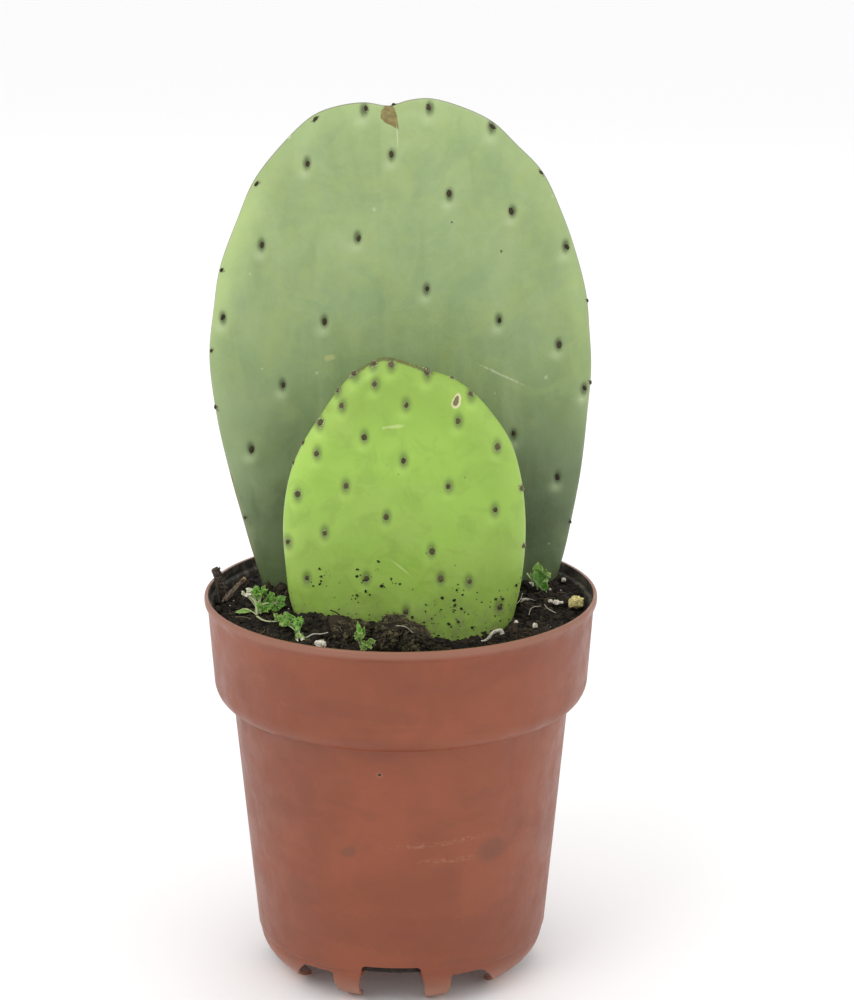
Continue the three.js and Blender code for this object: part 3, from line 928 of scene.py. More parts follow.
def potOutsideMaterial():
    material, tree, shader, place = startMaterial("terracottaPlastic", 0.42, 0.5)
    drift = driftColour(tree, place, rgb(0.245, 0.059, 0.021), rgb(0.205, 0.047, 0.016), 26.0, 0.5, 0.16)
    # water marks run down the wall, so their pattern is stretched upright
    stretched = stretchedPlace(tree, place, (0.05, 0.05, 0.16))
    wash = remap(tree, noiseOf(tree, stretched, 1.0, 5.0, 0.62, 0.8), 0.52, 0.66)
    washed = tint(tree, drift, wash, 0.30, rgb(0.165, 0.042, 0.018))
    lower = remap(tree, place["Height"], 8.0, 34.0, 1.0, 0.0)
    ringMark = times(tree, remap(tree, noiseOf(tree, stretched, 2.2, 4.0), 0.45, 0.62), lower)
    marked = tint(tree, washed, ringMark, 0.35, rgb(0.17, 0.05, 0.024))
    # painted highlight on the feet, palest at their bottom edges
    footHighlight = remap(tree, place["Height"], 1.0, 13.0, 1.0, 0.0)
    marked = tint(tree, marked, footHighlight, 0.75, rgb(0.40, 0.185, 0.115))
    # painted highlight along the lip's rounded top edge
    lipHighlight = remap(tree, place["Height"], 117.2, 118.6)
    marked = tint(tree, marked, lipHighlight, 0.6, rgb(0.28, 0.135, 0.088))
    # darker stains on the left and round the foot
    stained = None
    for stain in pot["stains"]:
        patch = patchOn(tree, place, *stain, 1.1, 0.22)
        stained = patch if stained is None else most(tree, stained, patch)
    stained = onFront(tree, place, stained, 0.0)
    marked = tint(tree, marked, stained, 0.55, rgb(0.188, 0.044, 0.015))
    # two pale scuffs and a dark smudge on the front, a small pit to the left
    scuffA = patchOn(tree, place, 10.5, 56.3, 14.0, 0.8, 0.06, 0.0, 1.6, 0.5)
    scuffB = patchOn(tree, place, 13.5, 50.6, 8.0, 0.7, -0.03, 0.0, 1.5, 0.5)
    scuffs = most(tree, scuffA, scuffB)
    flatter = stretchedPlace(tree, place, (0.45, 0.45, 1.5))
    broken = remap(tree, noiseOf(tree, flatter, 1.0, 5.0, 0.75, 0.5), 0.50, 0.60)
    scuffs = onFront(tree, place, times(tree, scuffs, broken), 0.0)
    scuffed = tint(tree, marked, scuffs, 0.38, rgb(0.40, 0.22, 0.16))
    smudge = most(tree, patchOn(tree, place, 27.0, 51.5, 4.2, 3.6, 0.2, 0.0, 0.9, 0.4),
                  patchOn(tree, place, -15.6, 53.2, 2.6, 1.6, 0.5, 0.3, 1.0, 0.3))
    smudge = onFront(tree, place, smudge, 0.0)
    smudged = tint(tree, scuffed, smudge, 0.5, rgb(0.13, 0.045, 0.025))
    pit = markOn(tree, place, 0.0, -6.4, 79.3, 0.5, 0.45, 0.0, 0.0, 0.2, 0.2)
    pitRing = markOn(tree, place, 0.0, -6.4, 79.2, 1.0, 0.9, 0.0, 0.0, 0.4, 0.3)
    ringed = tint(tree, smudged, pitRing, 0.2, rgb(0.42, 0.20, 0.14))
    pitted = blendColour(tree, pit, ringed, rgb(0.03, 0.012, 0.008))
    dirt = specksOn(tree, place, 7.0, 0.018, 0.25)
    final = tint(tree, pitted, dirt, 0.6, rgb(0.05, 0.02, 0.012))
    tree.links.new(final, shader.inputs["Base Color"])
    gloss = remap(tree, noiseAt(tree, place, 0.12, 5.0, 0.65), 0.3, 0.7, 0.36, 0.52)
    tree.links.new(plus(tree, gloss, times(tree, scuffs, 0.2)), shader.inputs["Roughness"])
    grain = noiseAt(tree, place, 2.2, 4.0, 0.6)
    slow = noiseAt(tree, place, 0.16, 2.0)
    height = plus(tree, times(tree, grain, 0.12), times(tree, slow, 0.9))
    height = minus(tree, height, times(tree, pit, 0.6))
    addBump(tree, shader, height, 0.35, 0.0006)
    return material


def potInsideMaterial():
    material, tree, shader, place = startMaterial("blackPlastic", 0.62, 0.2)
    dust = driftColour(tree, place, rgb(0.050, 0.045, 0.039), rgb(0.175, 0.147, 0.117), 4.0, 0.53, 0.12)
    tree.links.new(dust, shader.inputs["Base Color"])
    addBump(tree, shader, noiseAt(tree, place, 1.6, 4.0), 0.3, 0.0005)
    return material


makePot(potOutsideMaterial(), potInsideMaterial())
print("pot made")


# soil

soil = {
    "level": 113.5,
    # across, depth, rise, spread of each heap or hollow
    "heaps": [
        (-30, 6, 2.6, 17), (-22, -16, 2.6, 9), (40, 10, 3.6, 13), (8, 8, 2.2, 14),
        (0, 40, 2.6, 22), (15, -24, -6.6, 14), (-12, -46, -2.5, 14),
    ],
    "gap": 0.3,
    "columns": 360,
    "rings": 120,
    "lumps": 1.6,
    "crumbs": 0.8,
}


def soilHeight(x, y):
    height = soil["level"]
    for hx, hy, rise, spread in soil["heaps"]:
        height += rise * math.exp(-((x - hx) ** 2 + (y - hy) ** 2) / (2 * spread ** 2))
    return height


def soilRelief(x, y):
    # clumps, then crumbs, on the heaps
    lumps = noise.fractal(Vector((x * 0.17, y * 0.17, 3.1)), 0.9, 2.1, 4)
    crumbs = noise.fractal(Vector((x * 0.75, y * 0.75, 7.7)), 0.8, 2.2, 3)
    pits = abs(noise.noise(Vector((x * 0.38, y * 0.38, 1.3))))
    return lumps * soil["lumps"] + crumbs * soil["crumbs"] - pits * 0.9


def soilSide():
    # the soil's flank, a gap inside the pot, from the top edge down to the floor
    inset = pot["wall"] + soil["gap"]
    side = [(pot["bandTopRadius"] - inset, 112.0),
            (pot["bandBottomRadius"] - inset + 0.2, pot["bandBottomZ"] + 1)]
    spread = pot["bandBottomRadius"] - pot["shoulderRadius"]
    rise = pot["bandBottomZ"] - pot["shoulderZ"]
    for k in range(8, -1, -1):
        t = math.pi / 2 * k / 8
        side.append((pot["shoulderRadius"] + spread * math.sin(t) - inset,
                     pot["shoulderZ"] + rise * (1 - math.cos(t))))
    side.append((pot["ringRadius"] - inset, pot["ringZ"] + pot["ringStep"]))
    side.append((pot["ringRadius"] - pot["ringStep"] - inset, pot["floorZ"] + soil["gap"]))
    side.append((20.0, pot["floorZ"] + soil["gap"]))
    return side


def soilGrid(withSide):
    columns, rings = soil["columns"], soil["rings"]
    rim = pot["bandTopRadius"] - pot["wall"] - soil["gap"] - 0.1
    verts = []
    for ring in range(rings + 1):
        radius = 1.0 + (rim - 1.0) * ring / rings
        for column in range(columns):
            angle = 2 * math.pi * column / columns
            x, y = radius * math.sin(angle), -radius * math.cos(angle)
            verts.append((x, y, soilHeight(x, y) + soilRelief(x, y)))
    if withSide:
        for radius, height in soilSide():
            for column in range(columns):
                angle = 2 * math.pi * column / columns
                verts.append((radius * math.sin(angle), -radius * math.cos(angle), height))
    rows = len(verts) // columns
    faces = []
    for row in range(rows - 1):
        for column in range(columns):
            after = (column + 1) % columns
            faces.append((row * columns + after, row * columns + column, (row + 1) * columns + column,
                          (row + 1) * columns + after))
    faces.append(tuple(range(columns)))
    if withSide:
        faces.append(tuple((rows - 1) * columns + column for column in reversed(range(columns))))
    return verts, faces


def peatMaterial(name, dark, brown, roughness):
    material, tree, shader, place = startMaterial(name, roughness, 0.35)
    clumps = driftColour(tree, place, dark, brown, 3.4, 0.56, 0.13)
    fibres = made(tree, "ShaderNodeMapping", {"Vector": place["Place"], "Scale": (0.5, 1.9, 1.1),
                                              "Rotation": (0.4, 0.2, 0.7)})
    streak = remap(tree, noiseOf(tree, fibres, 1.0, 5.0, 0.7, 1.2), 0.60, 0.72)
    final = tint(tree, clumps, streak, 0.5, rgb(0.085, 0.052, 0.032))
    tree.links.new(final, shader.inputs["Base Color"])
    wet = remap(tree, noiseAt(tree, place, 0.7, 3.0), 0.35, 0.65, roughness - 0.3, roughness)
    tree.links.new(wet, shader.inputs["Roughness"])
    addBump(tree, shader, noiseAt(tree, place, 2.4, 5.0, 0.7), 0.7, 0.0008)
    return material


peat = peatMaterial("peat", rgb(0.0085, 0.0060, 0.0045), rgb(0.030, 0.018, 0.011), 0.95)
verts, faces = soilGrid(True)
keep(meshPiece("soil_body", verts, faces, [peat]), "peat", "soil")
print("soil made")


# pads

rearPad = {
    "name": "rear_pad_skin",
    "planeY": 24.0,
    "thickness": 14.0,
    "edgeDepth": 12.0,
    "crown": 0.13,
    "middle": (0.0, 178.0),
    # half width and half depth of what it covers of the soil's top
    "soilCover": (46, 7.6),
    "columns": 400,
    "rings": 100,
    "wave": 0.45,
    "outline": [
        (-3, 264.9), (2.5, 266.5), (9, 267.1), (18, 264.8), (27.8, 260.2), (35.3, 253.2), (43.2, 244.9),
        (49.6, 231.6), (53.6, 220.5), (57.0, 207.5), (58.2, 196), (58.9, 184), (57.9, 169.5),
        (56.3, 152.5), (54, 138.5), (50.4, 121.5), (45, 107), (31, 93), (13, 85.5), (-9, 85.5),
        (-27, 93), (-40.5, 107), (-45.4, 121.5), (-49.6, 137), (-53, 150.5), (-56.8, 169),
        (-58.7, 188), (-57.1, 203), (-55, 215.5), (-49.2, 231), (-44, 242.6), (-34.7, 254.2),
        (-26.2, 261.9), (-19.6, 264.6), (-10.6, 265.9),
    ],
    # areoles on the front face and round the margin, across and height
    "areoles": [
        (-10.6, 264.2), (9, 264.6), (27.6, 258.8), (-2.4, 251), (-27.8, 248.5), (14.9, 239), (33.9, 234),
        (50.2, 222.9), (-12.8, 226.2), (-41.8, 223.8), (8, 210.3), (-54, 201), (-23, 200.5), (30, 200.8),
        (48.3, 192.9), (-36, 180.6), (56.5, 178.5), (34.7, 164.6), (-46, 160.4), (48.5, 151),
        (-7, 178), (12, 181), (-20, 152), (9, 150), (-33, 133), (30, 128),
    ],
    "marginAreoles": [
        (-2.5, 266), (-25.7, 261), (-43.3, 241.5), (-54.4, 214.9), (42.6, 245), (57.4, 205), (-56.9, 172.5),
        (53, 135.5), (-48.7, 137.5), (-58, 190), (58.5, 180),
    ],
    "pitDepth": 0.6,
    "mound": 0.55,
    # size of the painted shade round each areole's pit
    "pitShadeSize": 2.6,
    "cushion": (0.68, 1.05, 0.36),
    "cushionSink": 0.14,
    "raggedness": 0.7,
    "spines": 26,
    "spineLength": 1.7,
    "spineRadius": 0.11,
    "tuft": (0.8, 1.5, 0.2),
    "spread": 1.3,
    "seed": 21,
}

frontPad = {
    "name": "front_pad_skin",
    "planeY": -10.0,
    "thickness": 10.5,
    "edgeDepth": 8.5,
    "crown": 0.16,
    "middle": (0.5, 144.0),
    "soilCover": (33, 5.8),
    "columns": 320,
    "rings": 80,
    "wave": 0.3,
    "outline": [
        (-5.4, 195), (1, 194), (8, 191.3), (15.2, 188.9), (22.5, 183.6), (28.4, 176.6), (33, 169),
        (36, 158.5), (37.4, 147), (37.3, 134.5), (35.7, 122), (32.4, 110.5), (25, 101.5), (13, 95.5),
        (-1, 94.5), (-15, 98), (-26, 105.5), (-32.6, 117), (-34.7, 131), (-35.2, 146), (-33, 159.5),
        (-28.9, 169.4), (-23.4, 178), (-18.8, 184.8), (-13.2, 190.8),
    ],
    "areoles": [
        (-7.9, 193.6), (-2.6, 193.4), (-13.3, 190.4), (-7.2, 188.1), (8, 190.6), (-18.6, 185.4),
        (-17.1, 181.4), (1.7, 181.9), (21, 184.2), (17.2, 176.9), (-24, 175.8), (-10.6, 172.2),
        (-24.6, 167), (1, 165), (28.7, 168.7), (-16.3, 157.1), (14.4, 157), (-30.6, 154),
        (-4.1, 147.6), (28.1, 149.5), (-22.6, 142.7), (-33.7, 139.2), (9.2, 137), (-28.1, 128.2),
        (-10.3, 128.4), (12, 128.3), (20.4, 127.2), (1.5, 117.8), (29.5, 118.8),
    ],
    "marginAreoles": [(-28.6, 169.6), (-32.1, 162.8), (36.2, 155.2), (36.9, 137.9), (14.9, 189)],
    "pitDepth": 0.35,
    "mound": 0.35,
    # size of the painted shade round each areole's pit
    "pitShadeSize": 3.1,
    "cushion": (0.75, 0.9, 0.34),
    "cushionSink": 0.16,
    "raggedness": 0.9,
    "spines": 34,
    "spineLength": 1.6,
    "spineRadius": 0.12,
    "tuft": (1.2, 1.3, 0.25),
    "spread": 1.4,
    "seed": 44,
}


def marginDistance(outline, across, height):
    # distance from points to the outline, in millimetres
    a = outline
    b = np.roll(outline, -1, 0)
    edge = b - a
    length = (edge ** 2).sum(1)
    best = np.full(len(across), 1e9)
    for i in range(len(a)):
        dx, dz = across - a[i, 0], height - a[i, 1]
        t = np.clip((dx * edge[i, 0] + dz * edge[i, 1]) / length[i], 0, 1)
        best = np.minimum(best, (dx - t * edge[i, 0]) ** 2 + (dz - t * edge[i, 1]) ** 2)
    return np.sqrt(best)


def halfThickness(pad, distance):
    half = pad["thickness"] / 2
    near = np.clip(distance / pad["edgeDepth"], 0, 1)
    rounded = np.sqrt(np.clip(1 - (1 - near) ** 2.4, 0, 1))
    far = np.clip(distance / (pad["edgeDepth"] * 3.2), 0, 1)
    swell = far * far * (3 - 2 * far)
    return half * ((1 - pad["crown"]) * rounded + pad["crown"] * swell)


def padRelief(pad, x, z, side):
    # slow waves in the face
    seed = 11.0 if side < 0 else 37.0
    return pad["wave"] * noise.noise(Vector((x * 0.035 + seed, z * 0.035, seed)))


def faceAreoles(pad, side):
    # the back's areoles are the front's, mirrored and a little lower
    if side < 0:
        return pad["areoles"]
    return [(-x * 0.97, z - 2.5) for x, z in pad["areoles"] if z - 2.5 > 112]


def areoleShape(pad, x, z, spots):
    # rise of the mounds and pits, the painted shade round each pit and the painted highlight under it, at
    # points of a face
    rise = np.zeros(len(x))
    pitShade = np.zeros(len(x))
    moundHighlight = np.zeros(len(x))
    for sx, sz in spots:
        mound = np.exp(-((x - sx) ** 2 + (z - sz + 1.6) ** 2) / (2 * 2.9 ** 2))
        pit = np.exp(-(((x - sx) / 0.9) ** 2 + ((z - sz) / 1.4) ** 2) / (2 * 0.95 ** 2))
        rise += pad["mound"] * mound - pad["pitDepth"] * pit
        near = np.exp(-(((x - sx) / 0.8) ** 2 + ((z - sz) / 1.35) ** 2) / (2 * (pad["pitShadeSize"] * 0.5) ** 2))
        pitShade = np.maximum(pitShade, near)
        below = np.exp(-(((x - sx + 0.7) / 1.25) ** 2 + ((z - sz + 3.3) / 1.0) ** 2) / (2 * 1.15 ** 2))
        moundHighlight = np.maximum(moundHighlight, below)
    return rise, pitShade, moundHighlight


def makePad(pad, material, roots, slot, node):
    outline = closedCurve(pad["outline"], pad["columns"])
    coarse = outline[::2]
    middle = np.array(pad["middle"])
    columns, rings = pad["columns"], pad["rings"]
    shares = 1 - (1 - np.linspace(0, 1, rings + 1)[1:]) ** 1.45
    flat = np.concatenate([middle + (outline - middle) * share for share in shares])
    distance = marginDistance(coarse, flat[:, 0], flat[:, 1])
    distance[-columns:] = 0
    half = halfThickness(pad, distance)
    verts, edges, pitShades, moundHighlights = [], [], [], []
    for side in (-1, 1):
        rise, pitShade, moundHighlight = areoleShape(pad, flat[:, 0], flat[:, 1], faceAreoles(pad, side))
        wave = np.array([padRelief(pad, x, z, side) for x, z in flat])
        thin = np.clip(distance / 3.0, 0, 1)
        out = half + (rise + wave) * thin
        if side < 0:
            verts.append(np.stack([flat[:, 0], pad["planeY"] - out, flat[:, 1]], 1))
        else:
            verts.append(np.stack([flat[:, 0], pad["planeY"] + out, flat[:, 1]], 1)[:-columns])
        edges.append(distance if side < 0 else distance[:-columns])
        pitShades.append(pitShade if side < 0 else pitShade[:-columns])
        moundHighlights.append(moundHighlight if side < 0 else moundHighlight[:-columns])
    faces = []
    back = rings * columns
    for ring in range(rings - 1):
        for column in range(columns):
            after = (column + 1) % columns
            a, b = ring * columns + column, ring * columns + after
            c, d = a + columns, b + columns
            faces.append((a, c, d, b))
            if ring < rings - 2:
                faces.append((back + b, back + d, back + c, back + a))
            else:
                faces.append((back + b, d, c, back + a))
    faces.append(tuple(range(columns)))
    faces.append(tuple(back + column for column in reversed(range(columns))))
    verts = np.concatenate(verts).tolist()
    edges = np.concatenate(edges).tolist()
    pitShades = np.concatenate(pitShades).tolist()
    moundHighlights = np.concatenate(moundHighlights).tolist()
    base = min(z for x, z in pad["outline"])
    for startX, endX, endY, endZ in roots:
        path = smoothPath([
            (startX, pad["planeY"], base + 4),
            (startX + (endX - startX) * 0.3, pad["planeY"] + endY * 0.2, base - 6),
            (startX + (endX - startX) * 0.7, pad["planeY"] + endY * 0.7, (base + endZ) / 2),
            (endX, pad["planeY"] + endY, endZ)], 6)
        radii = [1.1 - 0.6 * i / (len(path) - 1) for i in range(len(path))]
        rootVerts, rootFaces = tube(path, radii, 8, len(verts))
        verts += [tuple(v) for v in rootVerts]
        faces += rootFaces
        edges += [30.0] * len(rootVerts)
        pitShades += [0.0] * len(rootVerts)
        moundHighlights += [0.0] * len(rootVerts)
    piece = meshPiece(pad["name"], verts, faces, [material])
    addMask(piece, "toMargin", edges)
    addMask(piece, "pitShade", pitShades)
    addMask(piece, "moundHighlight", moundHighlights)
    return keep(piece, slot, node)


def growAreoles(pad, skin, name, slot, cushionMaterial, spineMaterial):
    # points on the skin at the face and margin areoles, then a cushion and glochids on each
    total = pad["columns"] * (pad["rings"] * 2 - 1)
    places = np.array([vertex.co[:] for vertex in skin.data.vertices[:total]]) / mm
    normals = np.array([vertex.normal[:] for vertex in skin.data.vertices[:total]])
    targets = []
    for side in (-1, 1):
        targets += [(x, z, side, 1.0) for x, z in faceAreoles(pad, side)]
    targets += [(x, z, 0, 0.85) for x, z in pad["marginAreoles"]]
    spots, facings, sizes = [], [], []
    draw = random.Random(pad["seed"])
    for x, z, side, size in targets:
        away = (places[:, 0] - x) ** 2 + (places[:, 2] - z) ** 2
        if side:
            away = away + np.where(side * (places[:, 1] - pad["planeY"]) < 0.02, 1e6, 0)
        nearest = int(away.argmin())
        spots.append(places[nearest] - normals[nearest] * pad["cushionSink"])
        facings.append(normals[nearest])
        sizes.append(size * draw.uniform(0.8, 1.15))
    source = meshPiece(name + "_points", spots, [], [])
    facing = source.data.attributes.new("facing", "FLOAT_VECTOR", "POINT")
    facing.data.foreach_set("vector", np.array(facings, np.float32).ravel())
    addMask(source, "size", sizes)
    piece = growFrom(name, source, areoleTufts, {
        "Cushion size": [v * mm for v in pad["cushion"]], "Raggedness": pad["raggedness"] * mm,
        "Spines": pad["spines"], "Spine length": pad["spineLength"] * mm,
        "Spine radius": pad["spineRadius"] * mm,
        "Tuft size": [v * mm for v in pad["tuft"]], "Spread": pad["spread"], "Seed": pad["seed"],
        "Cushion material": cushionMaterial, "Spine material": spineMaterial})
    return keep(piece, slot)


def rearSkinMaterial():
    material, tree, shader, place = startMaterial("greyGreenSkin", 0.5, 0.4)
    height = place["Height"]
    # young and pale above, old and dark towards the soil; the dark low part is also painted shade from the
    # front pad and the soil
    climb = remap(tree, plus(tree, height, times(tree, noiseAt(tree, place, 0.03, 2.0), 30.0)),
                  135.0, 275.0, 0.0, 1.0, "LINEAR")
    ramp = addNode(tree, "ShaderNodeValToRGB", {0: climb})
    steps = ramp.color_ramp.elements
    steps[0].color = rgb(0.080, 0.116, 0.046)
    steps[1].color = rgb(0.315, 0.420, 0.170)
    for position, colour in ((0.12, rgb(0.085, 0.122, 0.048)), (0.32, rgb(0.155, 0.215, 0.088)),
                             (0.46, rgb(0.220, 0.305, 0.125)), (0.60, rgb(0.262, 0.357, 0.148))):
        steps.new(position).color = colour
    bloom = driftMask(tree, place, 30.0, 0.5, 0.2)
    bloomMask = times(tree, bloom, 0.22)
    base = blendColour(tree, bloomMask, ramp.outputs[0], rgb(0.33, 0.40, 0.24))
    mottle = remap(tree, noiseAt(tree, place, 0.22, 5.0, 0.65, 0.5), 0.35, 0.68)
    base = tint(tree, base, mottle, 0.20, rgb(0.17, 0.24, 0.085))
    # soft upright streaks, paler and darker
    upright = stretchedPlace(tree, place, (0.10, 0.05, 0.030))
    streaks = noiseOf(tree, upright, 1.0, 3.0, 0.5, 0.6)
    base = tint(tree, base, remap(tree, streaks, 0.50, 0.70), 0.20, rgb(0.40, 0.48, 0.26))
    base = tint(tree, base, remap(tree, streaks, 0.50, 0.34), 0.18, rgb(0.15, 0.21, 0.085))
    blotch = noiseAt(tree, place, 0.055, 3.0, 0.55, 0.7)
    base = tint(tree, base, remap(tree, blotch, 0.46, 0.66), 0.30, rgb(0.195, 0.285, 0.145))
    warmth = noiseAt(tree, place, 0.075, 4.0, 0.6, 1.0)
    warmth = times(tree, remap(tree, warmth, 0.47, 0.66), remap(tree, height, 150.0, 200.0, 0.3, 1.0))
    base = tint(tree, base, warmth, 0.34, rgb(0.315, 0.395, 0.135))
    # low on the right it is darker, low on the left paler
    lowDown = remap(tree, height, 118.0, 150.0, 1.0, 0.0)
    aboveSoil = times(tree, remap(tree, height, 118.0, 138.0), remap(tree, height, 146.0, 176.0, 1.0, 0.0))
    rightLow = times(tree, aboveSoil, remap(tree, place["Across"], 10.0, 40.0))
    base = tint(tree, base, rightLow, 0.42, rgb(0.050, 0.075, 0.032))
    leftLow = times(tree, lowDown, remap(tree, place["Across"], -20.0, -40.0))
    base = tint(tree, base, leftLow, 0.5, rgb(0.165, 0.225, 0.090))
    leftMiddle = times(tree, remap(tree, height, 138.0, 156.0), remap(tree, height, 172.0, 190.0, 1.0, 0.0))
    leftMiddle = times(tree, leftMiddle, remap(tree, place["Across"], -34.0, -50.0))
    base = tint(tree, base, leftMiddle, 0.45, rgb(0.31, 0.40, 0.20))
    toMargin = attributeOf(tree, "toMargin")
    # the margin is paler, most on the left between the shoulder and the middle
    waver = times(tree, noiseAt(tree, place, 0.06, 3.0), 9.0)
    pale = remap(tree, plus(tree, toMargin, waver), 3.5, 14.0, 1.0, 0.0)
    pale = times(tree, pale, remap(tree, height, 150.0, 215.0, 0.15, 1.0))
    leftBand = times(tree, remap(tree, height, 186.0, 205.0), remap(tree, height, 232.0, 250.0, 1.0, 0.0))
    leftBand = times(tree, leftBand, remap(tree, place["Across"], -30.0, -42.0))
    strength = maths(tree, "MULTIPLY_ADD", leftBand, 0.45, 0.30)
    base = tint(tree, base, pale, strength, rgb(0.45, 0.58, 0.22))
    rim = remap(tree, toMargin, 0.0, 0.30, 1.0, 0.0)
    base = tint(tree, base, rim, 0.70, rgb(0.095, 0.080, 0.050))
    # painted highlight under each areole, then painted shade round its pit
    moundHighlight = attributeOf(tree, "moundHighlight")
    base = tint(tree, base, moundHighlight, 0.50, rgb(0.45, 0.55, 0.30))
    pitShade = attributeOf(tree, "pitShade")
    base = tint(tree, base, remap(tree, pitShade, 0.16, 0.95), 0.85, rgb(0.055, 0.070, 0.026))
    # corky scar at the top, corky line low on the left margin, a pale thread and flecks, a warm scuff, faint
    # scuffs and dark dots
    scar = patchOn(tree, place, -2.5, 261.6, 2.0, 3.8, 0.62, 0.8, 0.4, 0.06)
    corkLine = times(tree, remap(tree, toMargin, 0.5, 1.0, 1.0, 0.0),
                     times(tree, remap(tree, height, 122.0, 126.0),
                           remap(tree, height, 150.0, 155.0, 1.0, 0.0)))
    corkLine = times(tree, corkLine, remap(tree, noiseAt(tree, place, 0.55, 2.0), 0.46, 0.52))
    corkLine = times(tree, corkLine, maths(tree, "LESS_THAN", place["Across"], 0.0))
    cork = onFront(tree, place, most(tree, scar, corkLine), rearPad["planeY"])
    corkColour = driftColour(tree, place, rgb(0.27, 0.225, 0.085), rgb(0.19, 0.155, 0.06), 1.6, 0.5, 0.12)
    base = blendColour(tree, cork, base, corkColour)
    thread = markOn(tree, place, rearPad["planeY"], -0.7, 256.5, 0.22, 3.0, 0.05, 0.0, 0.5, 0.3)
    flecks = most(tree, patchOn(tree, place, -33.3, 255.6, 0.8, 0.5, 0.3, 0.0, 0.6, 0.3),
                  patchOn(tree, place, 31.0, 183.5, 7.0, 0.35, -0.45, 0.0, 2.2, 0.4))
    flecks = most(tree, onFront(tree, place, flecks, rearPad["planeY"]), thread)
    base = tint(tree, base, flecks, 0.6, rgb(0.52, 0.56, 0.36))
    warmScuff = markOn(tree, place, rearPad["planeY"], -21.5, 189.0, 1.6, 0.9, 0.2, 0.0, 0.9, 0.3)
    base = tint(tree, base, warmScuff, 0.5, rgb(0.50, 0.50, 0.20))
    scuffs = specksOn(tree, place, 9.0, 0.07, 0.4)
    base = tint(tree, base, scuffs, 0.4, rgb(0.50, 0.58, 0.36))
    dots = specksOn(tree, place, 13.0, 0.035, 0.45)
    base = tint(tree, base, dots, 0.8, rgb(0.05, 0.06, 0.025))
    tree.links.new(base, shader.inputs["Base Color"])
    gloss = remap(tree, noiseAt(tree, place, 0.09, 4.0, 0.6), 0.3, 0.7, 0.42, 0.60)
    tree.links.new(plus(tree, gloss, times(tree, cork, 0.3)), shader.inputs["Roughness"])
    skin = plus(tree, times(tree, noiseAt(tree, place, 1.6, 4.0, 0.6), 0.35),
                times(tree, noiseAt(tree, place, 0.25, 2.0), 0.8))
    skin = plus(tree, skin, times(tree, cork, 0.5))
    addBump(tree, shader, skin, 0.28, 0.0009)
    return material


